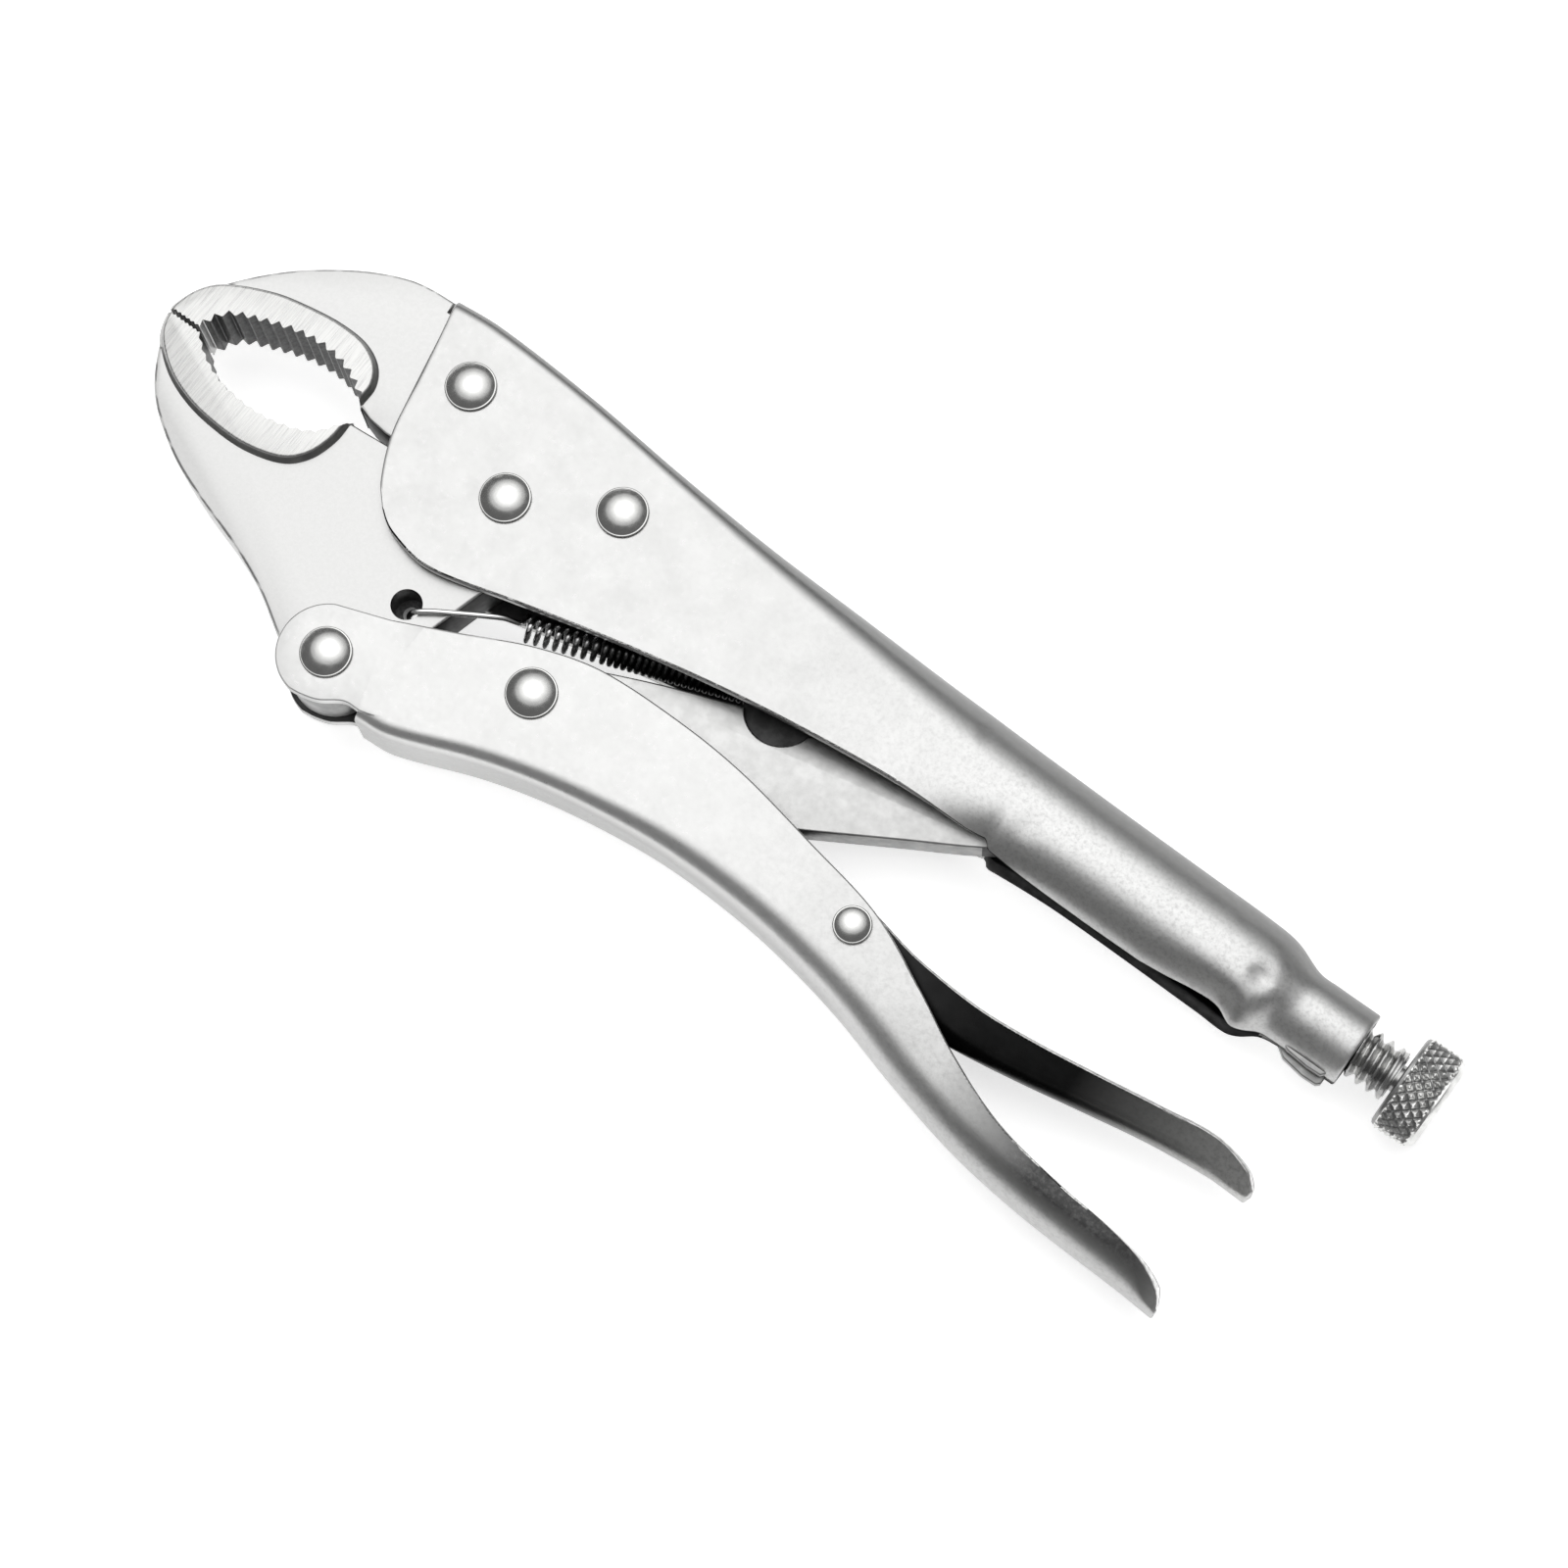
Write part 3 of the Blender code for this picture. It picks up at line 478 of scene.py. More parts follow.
def fixed_jaw():
    nose = [(-67.4, -13.9), (-67.2, -12.2), (-66.0, -8.8), (-64.0, -5.8), (-60.0, -0.8), (-55.2, 4.0), (-49.9, 8.1),
            (-44.3, 11.6), (-38.0, 14.3), (-33.8, 15.1), (-29.1, 15.35)]
    body = curve(nose, 6) + [(-29.0, 13.4), (-20.0, 13.6), (0.0, 12.6), (20.0, 10.5), (24.0, 8.0)]
    body += arc(REAR_JAW_RIVET, 8.0, 20, -80, 12) + arc(JAW_PIVOT, 12.6, 14, 188, 40)
    body += [(-24.2, -10.1), (-28.0, -9.7), (-30.2, -9.0), (-34.0, -14.6), (-60.0, -16.0), (-66.9, -15.2)]
    pad = [(-66.9, -14.8), (-67.4, -13.6), (-67.2, -12.2), (-66.0, -8.8), (-63.4, -5.6), (-55.2, -1.5), (-48.8, 0.0),
           (-42.0, 0.8), (-36.4, 0.3), (-32.6, -1.8), (-30.8, -4.8), (-30.7, -8.2)]
    pad = curve(pad, 6) + [(-34.6, -13.6), (-60.0, -15.0)]
    mouth = saw_line([(-67.6, -14.0), (-61.0, -13.9)], NOSE_PITCH, NOSE_DEPTH, 1)[:-1]
    mouth += saw_line(MOUTH_TOP, TOOTH_PITCH, UPPER_TOOTH_DEPTH, 1)
    mouth = [(-72.0, -14.0)] + mouth + [(-28.4, -11.6), (-34.0, -24.0), (-72.0, -24.0)]
    jaw = jaw_blank("upper_jaw", body, pad, mouth)
    bore(jaw, (FRONT_JAW_RIVET, REAR_JAW_RIVET), 3.2)
    smooth_by_angle(jaw, 30)
    return jaw


def movable_jaw():
    belly = [(-67.2, -14.4), (-66.5, -17.3), (-65.4, -19.9), (-62.2, -25.2), (-59.0, -28.6), (-54.0, -32.1),
             (-49.2, -34.7), (-41.5, -37.6), (-32.8, -40.3), (-24.6, -43.7), (-16.6, -48.4)]
    body = curve(belly, 6) + arc(LEVER_PIVOT, 7.6, 200, 360, 24)
    body += curve([(2.6, -36.0), (3.8, -31.8), (6.8, -21.2), (8.6, -17.0)], 5)
    body += arc(JAW_PIVOT, 12.2, -36, 194, 48)
    body += [(-23.4, -11.5), (-27.0, -11.8), (-29.9, -12.0), (-34.0, -10.6), (-60.0, -10.6), (-66.9, -12.6)]
    pad = [(-66.8, -13.2), (-67.2, -14.4), (-66.3, -17.6), (-64.4, -20.0), (-59.9, -23.2), (-54.5, -25.2),
           (-48.4, -26.1), (-41.4, -26.0), (-34.6, -23.9), (-31.6, -20.6), (-30.2, -15.9), (-30.2, -12.2)]
    pad = curve(pad, 6) + [(-34.6, -11.4), (-60.0, -11.4)]
    mouth = saw_line([(-67.4, -14.45), (-60.4, -14.5)], NOSE_PITCH, NOSE_DEPTH, -1)[:-1]
    mouth += saw_line(MOUTH_BOTTOM, TOOTH_PITCH, LOWER_TOOTH_DEPTH, -1)
    mouth = [(-72.0, -14.45)] + mouth + [(-29.0, -10.8), (-34.0, -4.0), (-72.0, -4.0)]
    jaw = jaw_blank("lower_jaw", body, pad, mouth)
    bore(jaw, (JAW_PIVOT, LEVER_PIVOT), 3.2)
    bm = bmesh.new()
    # The spring hole narrows part way through, and its walls take near-black painted shade further down, so that it
    # shows dark.
    stepped_bore = [(0, 1.4), (5.5, 1.4), (5.5, SPRING_HOLE_RADIUS), (14, SPRING_HOLE_RADIUS)]
    turned(bm, stepped_bore, (SPRING_HOLE[0], SPRING_HOLE[1], -6.5), (0, 0, 1), 40)
    boolean(jaw, finish_object("spring_bore", bm), 'DIFFERENCE')
    smooth_by_angle(jaw, 30)
    return jaw


# ---------------------------------------------------------------- lever and release lever

# web x, web y, free edge x, free edge y, half width, corner radius, bend angle.
LEVER_STATIONS = [
    (3.0, -52.4, 3.0, -33.2, 7.25, 2.6, 90),
    (9.0, -51.8, 9.0, -30.4, 7.25, 2.8, 90),
    (23.0, -46.6, 20.0, -25.2, 7.25, 3.0, 90),
    (33.0, -43.8, 31.0, -22.1, 7.25, 3.2, 90),
    (44.0, -41.8, 46.0, -21.5, 7.25, 3.6, 90),
    (56.0, -40.6, 60.0, -22.4, 7.25, 4.4, 90),
    (68.0, -40.7, 76.0, -25.3, 7.25, 5.2, 90),
    (80.0, -41.8, 91.0, -28.4, 7.25, 5.8, 89),
    (94.0, -44.4, 104.0, -34.2, 7.2, 6.4, 88),
    (109.0, -48.5, 115.0, -39.9, 7.1, 6.4, 82),
    (123.0, -51.6, 127.0, -44.4, 7.0, 6.4, 80),
    (136.0, -53.1, 140.0, -46.5, 6.9, 6.3, 80),
    (148.0, -53.6, 150.0, -47.4, 6.7, 6.1, 78),
    (157.0, -53.8, 157.5, -48.9, 6.2, 5.4, 66),
    (161.5, -53.9, 161.8, -51.2, 5.2, 1.8, 50),
    (163.4, -54.0, 163.4, -53.0, 3.6, 0.7, 50),
]
RELEASE_STATIONS = [
    (72.0, -31.6, 73.0, -26.8, 5.0, 1.8, 90),
    (80.0, -35.4, 81.0, -27.0, 5.0, 2.0, 90),
    (90.0, -38.2, 90.0, -28.0, 5.0, 2.2, 84),
    (101.0, -38.9, 101.0, -30.2, 5.0, 3.6, 75),
    (113.0, -37.9, 113.0, -31.0, 5.0, 3.7, 69),
    (124.0, -36.2, 123.5, -30.2, 5.0, 3.7, 66),
    (136.0, -33.9, 134.5, -28.7, 5.0, 3.9, 63),
    (147.0, -31.9, 145.5, -27.0, 5.0, 3.9, 62),
    (157.0, -30.8, 156.0, -25.7, 5.0, 3.8, 61),
    (162.0, -30.6, 162.3, -27.2, 4.6, 1.8, 52),
    (164.6, -30.6, 164.9, -29.2, 3.4, 0.8, 52),
]


def channel_ring(table, x, inset, sheet):
    web_x, web_y, edge_x, edge_y, half, corner, bend = row_at(table, x)
    depth = hypot(edge_x - web_x, edge_y - web_y)
    axis = ((edge_x - web_x) / depth, (edge_y - web_y) / depth)
    sheet = min(sheet, depth * 0.8)
    inset = min(inset, sheet * 0.3)
    corner = max(corner, sheet + 0.15)
    turn = radians(bend)
    side = max((depth - corner * (1 - cos(turn))) / sin(turn), 0.1)
    back = max(half - corner * sin(turn) - side * cos(turn), 0.1)
    stretches = [(back, 0), (corner * turn, bend), (side, 0)]
    ring = []
    for down, out in both_sides(*strip_section(stretches, (2, 12, 6), sheet, inset)):
        ring.append((web_x + axis[0] * down, web_y + axis[1] * down, out))
    return ring


def channel(name, table, sheet, round_start):
    bm = bmesh.new()
    rings = end_insets(lambda x, inset: channel_ring(table, x, inset, sheet), table[0][0], table[-1][0], 0.8,
                       round_start)
    skin(bm, rings)
    return finish_object(name, bm)


def lever():
    piece = channel("lever_channel", LEVER_STATIONS, SHEET, False)
    ear = arc(LEVER_PIVOT, 8.5, 118, 262, 40)
    ear += curve([(-7.0, -54.6), (-3.6, -53.6), (0.2, -51.2), (3.2, -51.0)], 8)[1:]
    ear += [(12.0, -48.2), (14.0, -40.0), (14.0, -27.9), (8.5, -30.6), (-2.3, -35.6)]
    for side in (-1, 1):
        low, high = sorted((side * (HANDLE_HALF_WIDTH - SHEET), side * HANDLE_HALF_WIDTH))
        bm = bmesh.new()
        rounded_plate(bm, ear, low, high, EDGE_ROUND)
        boolean(piece, finish_object("ear", bm), 'UNION')
    bore(piece, (LEVER_PIVOT, TOGGLE_PIVOT), 3.2)
    bore(piece, (RELEASE_PIVOT,), 2.2)
    smooth_by_angle(piece)
    return piece


def release_lever():
    piece = channel("release_channel", RELEASE_STATIONS, 1.5, True)
    bore(piece, (RELEASE_PIVOT,), 2.2)
    smooth_by_angle(piece)
    return piece


SCALLOP = (58.0, -9.2)
SCALLOP_RADIUS = 6.2


def toggle_link():
    outline = arc(TOGGLE_PIVOT, 8.0, 130, 285, 36)
    outline += curve([(60.0, -31.2), (73.3, -23.4), (86.9, -15.4), (98.0, -8.9), (103.6, -4.8)], 4)
    outline += arc((104.0, 0.0), 3.4, -60, 100, 14) + [(84.0, -2.6), (66.5, -9.0)]
    outline += arc(SCALLOP, SCALLOP_RADIUS, -12, -148, 24)
    outline += curve([(51.8, -12.8), (40.1, -17.1), (31.9, -20.6), (24.0, -24.2)], 4)
    bm = bmesh.new()
    rounded_plate(bm, outline, -LINK_HALF, LINK_HALF, 0.35)
    piece = finish_object("link_plate", bm)
    # A floor set into the notch, 1.2 mm below the link's near face and painted near black further down: a dark sheet
    # that stands in for the shade in the notch.
    bm = bmesh.new()
    prism(bm, arc(SCALLOP, SCALLOP_RADIUS + 0.4, 0, -180, 24), -LINK_HALF + 0.4, LINK_HALF - 1.2)
    boolean(piece, finish_object("notch_shade_floor", bm), 'UNION')
    bore(piece, (TOGGLE_PIVOT,), 3.1)
    smooth_by_angle(piece)
    return piece


# ---------------------------------------------------------------- rivets and pin

# Head radius, head height and shank radius.
LARGE_RIVET = (4.4, 1.7, 2.8)
SMALL_RIVET = (3.2, 1.2, 1.9)


def rivet(name, centre, head_radius, head_height, shank_radius):
    """Shank with a domed head, a small rim and a dark seat on each side."""
    seat = HANDLE_HALF_WIDTH + 0.2
    dome = ((head_radius - 0.25) ** 2 + (head_height - 0.25) ** 2) / (2 * (head_height - 0.25))
    head = [(seat, shank_radius), (seat, head_radius - 0.15), (seat + 0.06, head_radius - 0.03),
            (seat + 0.14, head_radius), (seat + 0.24, head_radius - 0.04), (seat + 0.3, head_radius - 0.2)]
    for i in range(13):
        radius = (head_radius - 0.3) * cos(pi / 2 * i / 12)
        rise = (dome ** 2 - radius ** 2) ** 0.5 - (dome - head_height + 0.25)
        head.append((seat + 0.26 + rise, max(radius, 0.05)))
    profile = [(-along, radius) for along, radius in head[::-1]] + head
    bm = bmesh.new()
    turned(bm, profile, (centre[0], centre[1], 0.0), (0, 0, 1), 64)
    return finish_object(name, bm, 50)


def spring_pin():
    bm = bmesh.new()
    turned(bm, [(0, 0.9), (0.1, 1.15), (0.4, 1.3), (11.0, 1.3), (11.3, 1.15), (11.4, 0.9)],
           (SPRING_PIN[0], SPRING_PIN[1], -5.7), (0, 0, 1), 32)
    return finish_object("anchor_pin", bm)


# ---------------------------------------------------------------- adjusting screw and knob

# Millimetres, with the ends of the screw and the knob taken from the frame.
THREAD_RADIUS = 4.6
THREAD_DEPTH = 1.15
THREAD_PITCH = 2.04
SCREW_TIP_X = design((SCREW_LOW.x, 0, 0))[0]
KNOB_FRONT_X = design((KNOB_LOW.x, 0, 0))[0]
KNOB_LENGTH = (KNOB_HIGH.x - KNOB_LOW.x) / MM
KNOB_RADIUS = (KNOB_HIGH.z - KNOB_LOW.z) / 2 / MM


def adjusting_screw():
    """Screw with a true helical thread that runs out at both ends."""
    start, end = SCREW_TIP_X, KNOB_FRONT_X - 0.9
    around, per_pitch = 72, 14
    rows = round((end - start) / THREAD_PITCH * per_pitch)
    rings = []
    for row in range(rows + 1):
        x = start + (end - start) * row / rows
        lead = min(1.0, (x - start) / 1.6)
        depth = THREAD_DEPTH * min(1.0, max(0.0, (end - x) / 1.5)) if x > end - 1.5 else THREAD_DEPTH
        ring = []
        for k in range(around):
            angle = 2 * pi * k / around
            phase = ((x - start) / THREAD_PITCH - k / around) % 1.0
            flank = min(1.0, max(0.0, (abs(phase - 0.5) * 2 - 0.16) / 0.68))
            radius = THREAD_RADIUS - depth * flank
            radius = min(radius, THREAD_RADIUS - THREAD_DEPTH * 1.15 * (1 - lead))
            ring.append((x, radius * cos(angle), radius * sin(angle)))
        rings.append(ring)
    collar = [(end + 0.1, 3.9), (KNOB_FRONT_X - 0.6, 3.9), (KNOB_FRONT_X - 0.6, 2.4), (KNOB_FRONT_X + 4.5, 2.4)]
    for x, radius in collar:
        rings.append([(x, radius * cos(2 * pi * k / around), radius * sin(2 * pi * k / around))
                      for k in range(around)])
    bm = bmesh.new()
    skin(bm, rings)
    return finish_object("screw_thread", bm, 50)


# Ridges round the knob and their depth in millimetres.
KNURLS = 26
KNURL_DEPTH = 0.6


def knob():
    """Round knob with a diamond knurl, chamfered rims and a shallow dish in its end."""
    around = KNURLS * 14
    length = KNOB_LENGTH
    rings = []
    for x, radius in ((0.6, 2.75), (0.0, 2.95), (0.0, KNOB_RADIUS - 1.1), (0.25, KNOB_RADIUS - 0.6)):
        rings.append((x, radius, 0.0))
    rows = 48
    for row in range(rows + 1):
        x = 0.7 + (length - 1.9) * row / rows
        fade = min(1.0, row / 3, (rows - row) / 3)
        rings.append((x, KNOB_RADIUS, fade))
    for x, radius in ((length - 0.9, KNOB_RADIUS - 0.35), (length - 0.35, KNOB_RADIUS - 0.85),
                      (length - 0.05, KNOB_RADIUS - 1.35), (length, KNOB_RADIUS - 1.7), (length, 5.9),
                      (length - 0.35, 5.3), (length - 0.4, 0.3)):
        rings.append((x, radius, 0.0))
    slant = KNURLS / (2 * pi * KNOB_RADIUS)
    points = []
    for x, radius, fade in rings:
        ring = []
        for k in range(around):
            angle = 2 * pi * k / around
            turn = KNURLS * k / around
            one = abs(((turn + x * slant) % 1.0) - 0.5) * 2
            two = abs(((turn - x * slant) % 1.0) - 0.5) * 2
            cut = max(one, two)
            r = radius - (0.12 + KNURL_DEPTH * min(1.0, max(0.0, (cut - 0.15) / 0.8))) * fade
            r -= (1 - fade) * 0.45 if 0.6 < x < length - 1.0 else 0.0
            ring.append((KNOB_FRONT_X + x, r * cos(angle), r * sin(angle)))
        points.append(ring)
    bm = bmesh.new()
    skin(bm, points)
    return finish_object("knob_knurled", bm, 28)


# ---------------------------------------------------------------- return spring

# Millimetres: the coil starts open and is closed towards the pin.
WIRE_RADIUS = 0.5
COIL_RADIUS = 2.1
OPEN_TURNS = 9
OPEN_PITCH = 1.65
CLOSED_TURNS = 22
HOOK_RADIUS = 1.95


def wire(bm, path, radius, sides=12):
    """Round wire along a path, with a frame carried along so that it doesn't twist."""
    path = [Vector(p) for p in path]
    normal = (path[1] - path[0]).orthogonal().normalized()
    rings = []
    for i, point in enumerate(path):
        tangent = (path[min(i + 1, len(path) - 1)] - path[max(i - 1, 0)]).normalized()
        normal = (normal - tangent * normal.dot(tangent)).normalized()
        other = tangent.cross(normal)
        size = radius * (0.75 if i in (0, len(path) - 1) else 1.0)
        rings.append([point + (normal * cos(2 * pi * k / sides) + other * sin(2 * pi * k / sides)) * size
                      for k in range(sides)])
    skin(bm, rings)


def return_spring():
    start = Vector((14.0, -22.5, 0.0))
    pin = Vector((SPRING_PIN[0], SPRING_PIN[1], 0.0))
    forward = (pin - start).normalized()
    across = Vector((-forward.y, forward.x, 0.0))
    up = Vector((0, 0, 1))
    closed_pitch = ((pin - start).length - 6.0 - OPEN_TURNS * OPEN_PITCH) / CLOSED_TURNS
    lead = [(-2.2, -32.3, -1.5), (-1.7, -32.5, 2.5), (-0.6, -31.9, 5.1), (1.6, -30.4, 5.6), (5.6, -27.9, 5.5),
            (9.6, -25.4, 5.2), (11.9, -23.8, 4.2)]
    per_turn = 24
    coil = []
    for i in range((OPEN_TURNS + CLOSED_TURNS) * per_turn + 1):
        angle = 2 * pi * i / per_turn
        turns = i / per_turn
        reach = min(turns, OPEN_TURNS) * OPEN_PITCH + max(turns - OPEN_TURNS, 0) * closed_pitch
        centre = start + forward * reach
        coil.append(centre + (up * cos(angle) + across * sin(angle)) * COIL_RADIUS)
    hook = []
    for i in range(13):
        angle = radians(160 - 25 * i)
        hook.append(pin + (forward * cos(angle) + across * sin(angle)) * HOOK_RADIUS)
    path = curve([Vector(p) for p in lead] + coil[::6] + hook, 5)
    bm = bmesh.new()
    wire(bm, path, WIRE_RADIUS)
    return finish_object("spring_wire", bm, 180)


# ---------------------------------------------------------------- finishes, and painted light and shade

def mark(obj, index, chosen):
    """Another material for the faces where chosen(x, y, z, normal), in design millimetres, is true."""
    for face in obj.data.polygons:
        place = (face.center - BASE) / MM
        if chosen(place.x, place.y, place.z, face.normal):
            face.material_index = index


class Nodes:
    """Small helper round one material's node tree."""

    def __init__(self, name):
        self.material = bpy.data.materials.new(name)
        self.material.use_nodes = True
        self.tree = self.material.node_tree
        self.shader = self.tree.nodes["Principled BSDF"]
        coordinates = self.tree.nodes.new("ShaderNodeTexCoord")
        self.place = coordinates.outputs["Object"]
        self.facing = coordinates.outputs["Normal"]

    def add(self, kind, **settings):
        node = self.tree.nodes.new(kind)
        for key, value in settings.items():
            setattr(node, key, value)
        return node

    def link(self, source, target):
        self.tree.links.new(source, target)

    def stretched(self, scale, turn=0.0):
        """Object coordinates, turned about Z and scaled per axis."""
        mapping = self.add("ShaderNodeMapping")
        mapping.inputs["Rotation"].default_value = (0.0, 0.0, radians(turn))
        mapping.inputs["Scale"].default_value = scale
        self.link(self.place, mapping.inputs["Vector"])
        return mapping.outputs["Vector"]

    def noise(self, size_mm, detail=2.0, rough=0.5, source=None):
        node = self.add("ShaderNodeTexNoise")
        node.inputs["Scale"].default_value = 1 / (size_mm * MM)
        node.inputs["Detail"].default_value = detail
        node.inputs["Roughness"].default_value = rough
        self.link(source or self.place, node.inputs["Vector"])
        return node.outputs["Fac"]

    def ramp(self, source, low, high, low_value, high_value):
        node = self.add("ShaderNodeMapRange")
        node.clamp = True
        node.inputs["From Min"].default_value = low
        node.inputs["From Max"].default_value = high
        node.inputs["To Min"].default_value = low_value
        node.inputs["To Max"].default_value = high_value
        self.link(source, node.inputs["Value"])
        return node.outputs["Result"]

    def math(self, operation, a, b):
        node = self.add("ShaderNodeMath", operation=operation)
        for socket, value in zip(node.inputs, (a, b)):
            if isinstance(value, (int, float)):
                socket.default_value = value
            else:
                self.link(value, socket)
        return node.outputs[0]

    def blend(self, factor, first, second):
        node = self.add("ShaderNodeMix", data_type='RGBA')
        self.link(factor, node.inputs["Factor"])
        for socket, value in ((node.inputs[6], first), (node.inputs[7], second)):
            if isinstance(value, tuple):
                socket.default_value = (*value, 1.0)
            else:
                self.link(value, socket)
        return node.outputs[2]

    def bump(self, height, distance_mm, strength=1.0, before=None):
        node = self.add("ShaderNodeBump")
        node.inputs["Strength"].default_value = strength
        node.inputs["Distance"].default_value = distance_mm * MM
        self.link(height, node.inputs["Height"])
        if before:
            self.link(before, node.inputs["Normal"])
        return node.outputs["Normal"]


def dark_specks(colour):
    return tuple(part * 0.5 for part in colour)


def steel(name, light, dark, metallic, rough, grain=1.0, mottle=3.0, patch=(0.40, 0.62), bends=None,
          far=None, painted_tones=()):
    """Plated steel: two shades in soft patches, fine pits and a slightly uneven gloss.

    bends holds the start and end in x, in design millimetres, of the stretch over which the surface
    turns grainy, as it is where the sheet has been formed. far, where given, is a colour that the
    surface fades to over that stretch: painted light and shade along the part. Each entry of the tone
    list is a stretch in x, a range of the normal's Y and a colour painted there: painted light and
    shade by which way the surface faces.
    """
    n = Nodes(name)
    n.shader.inputs["Metallic"].default_value = metallic
    shade = n.ramp(n.noise(mottle, 5.0, 0.6), patch[0], patch[1], 0.0, 1.0)
    colour = n.blend(shade, dark, light)
    if bends:
        parts = n.add("ShaderNodeSeparateXYZ")
        n.link(n.place, parts.inputs["Vector"])
        formed = n.ramp(parts.outputs["X"], BASE.x + bends[0] * MM, BASE.x + bends[1] * MM, 0.0, 1.0)
        # Painted light and shade: the colour fades to far along x.
        if far:
            colour = n.blend(formed, colour, far)
    # Painted light and shade: faces turned a given way (the normal's Y) take another colour over a stretch in x.
    for stretch, facing, tone in painted_tones:
        place = n.add("ShaderNodeSeparateXYZ")
        n.link(n.place, place.inputs["Vector"])
        normal = n.add("ShaderNodeSeparateXYZ")
        n.link(n.facing, normal.inputs["Vector"])
        along_x = n.ramp(place.outputs["X"], BASE.x + stretch[0] * MM, BASE.x + stretch[1] * MM, 0.0, 1.0)
        turned = n.ramp(normal.outputs["Y"], facing[0], facing[1], 0.0, 1.0)
        colour = n.blend(n.math('MULTIPLY', along_x, turned), colour, tone)
    if bends:
        grain_tone = n.ramp(n.noise(0.7, 3.0, 0.7), 0.45, 0.68, 0.0, 0.34)
        colour = n.blend(n.math('MULTIPLY', grain_tone, formed), colour, dark_specks(dark))
    n.link(colour, n.shader.inputs["Base Color"])
    gloss = n.ramp(n.noise(0.9, 3.0), 0.3, 0.7, rough - 0.03, rough + 0.05)
    if bends:
        gloss = n.math('ADD', gloss, n.math('MULTIPLY', formed, 0.1))
    n.link(gloss, n.shader.inputs["Roughness"])
    fine = n.bump(n.noise(0.3, 2.0, 0.6), 0.0006 * grain)
    if bends:
        rough_grain = n.math('MULTIPLY', n.noise(0.34, 2.0, 0.7), formed)
        fine = n.bump(rough_grain, 0.018 * grain, 1.0, fine)
    wavy = n.bump(n.noise(3.0, 2.0, 0.5), 0.006 * grain, 1.0, fine)
    n.link(wavy, n.shader.inputs["Normal"])
    return n


def ground_steel(name):
    """Bright steel with fine grinding lines that run across the pads."""
    n = steel(name, (0.56, 0.56, 0.55), (0.50, 0.50, 0.49), 0.9, 0.3, 0.6, 1.2)
    lines = n.noise(1.0, 2.0, 0.5, n.stretched((3.6, 0.16, 1.0), -34))
    n.link(n.ramp(lines, 0.35, 0.65, 0.24, 0.42), n.shader.inputs["Roughness"])
    shade = n.blend(n.ramp(lines, 0.3, 0.6, 0.0, 1.0), (0.40, 0.40, 0.395), (0.60, 0.60, 0.59))
    n.link(shade, n.shader.inputs["Base Color"])
    n.link(n.bump(lines, 0.012), n.shader.inputs["Normal"])
    return n


def paint(obj, nodes, slot_name, body, *hidden):
    """Finish, body and the CAD nodes that the piece stands for; slot_name is not used."""
    obj.data.materials.clear()
    for finish in nodes if isinstance(nodes, tuple) else (nodes,):
        obj.data.materials.append(finish.material)
    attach(obj, body)
    if hidden:
        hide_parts(*hidden)
    return obj


def inside_channel(table):
    """Test for faces on the hollow side of a bent strip."""
    mids = [((r[0] + r[2]) / 2, (r[1] + r[3]) / 2) for r in table]
    return lambda x, y, z, normal: normal.y * (y - value_at(mids, x)) + normal.z * z < -0.5


def at_free_edge(table, first=80.0):
    """Test for faces on the cut edge of a bent strip, from x = first on."""
    edges = [(r[2], r[3]) for r in table]
    return lambda x, y, z, normal: first < x and y > value_at(edges, x) - 0.6 and normal.y > 0.0


# A stretch in x that ends before the part begins, so that a tone given with it covers the whole length.
EVERYWHERE = (-200, -199)
# Handle: plated steel, with painted light on faces turned level or down from x 60 to 105 on, and painted shade on
# faces turned up (+Y) all along.
handle_finish_and_shading = steel("handle_finish_and_shading", (0.53, 0.53, 0.525), (0.48, 0.48, 0.475), 0.9, 0.3, 0.8, 6.0,
                      (0.3, 0.7), (45, 105),
                      painted_tones=[((60, 105), (0.35, 0.05), (0.62, 0.62, 0.615)),
                             ((60, 105), (-0.3, -0.7), (0.55, 0.55, 0.545)),
                             (EVERYWHERE, (0.15, 0.75), (0.24, 0.24, 0.238))])
# Lever: plated steel, with painted light on faces turned part way down and painted shade on the web facing straight
# down, both fading out from x 92 to 112, and near-black painted shade on the tail from x 114 to 136 on, except on
# faces turned down.
lever_finish_and_shading = steel("lever_finish_and_shading", (0.54, 0.54, 0.535), (0.51, 0.51, 0.505), 0.9, 0.3, 0.8, 6.0,
                     (0.3, 0.7), (60, 125),
                     painted_tones=[((112, 92), (-0.15, -0.5), (0.68, 0.68, 0.675)),
                            ((112, 92), (-0.8, -0.98), (0.42, 0.42, 0.415)),
                            ((114, 136), (-0.8, -0.32), (0.07, 0.07, 0.07))])
# Near-black painted shade, for the hollow insides of the sheets and for faces deep in shade between parts.
inner_painted_shade = steel("inner_painted_shade", (0.06, 0.06, 0.06), (0.03, 0.03, 0.03), 0.7, 0.5)
jaw_finish = steel("jaw_finish", (0.53, 0.53, 0.525), (0.49, 0.49, 0.485), 0.9, 0.32, 1.0, 0.9)
pad_finish = ground_steel("pad_finish")
# Near-black painted shade for the tooth walls and the spring hole.
tooth_painted_shade = steel("tooth_painted_shade", (0.08, 0.08, 0.08), (0.035, 0.035, 0.035), 0.85, 0.35, 1.5, 0.8)
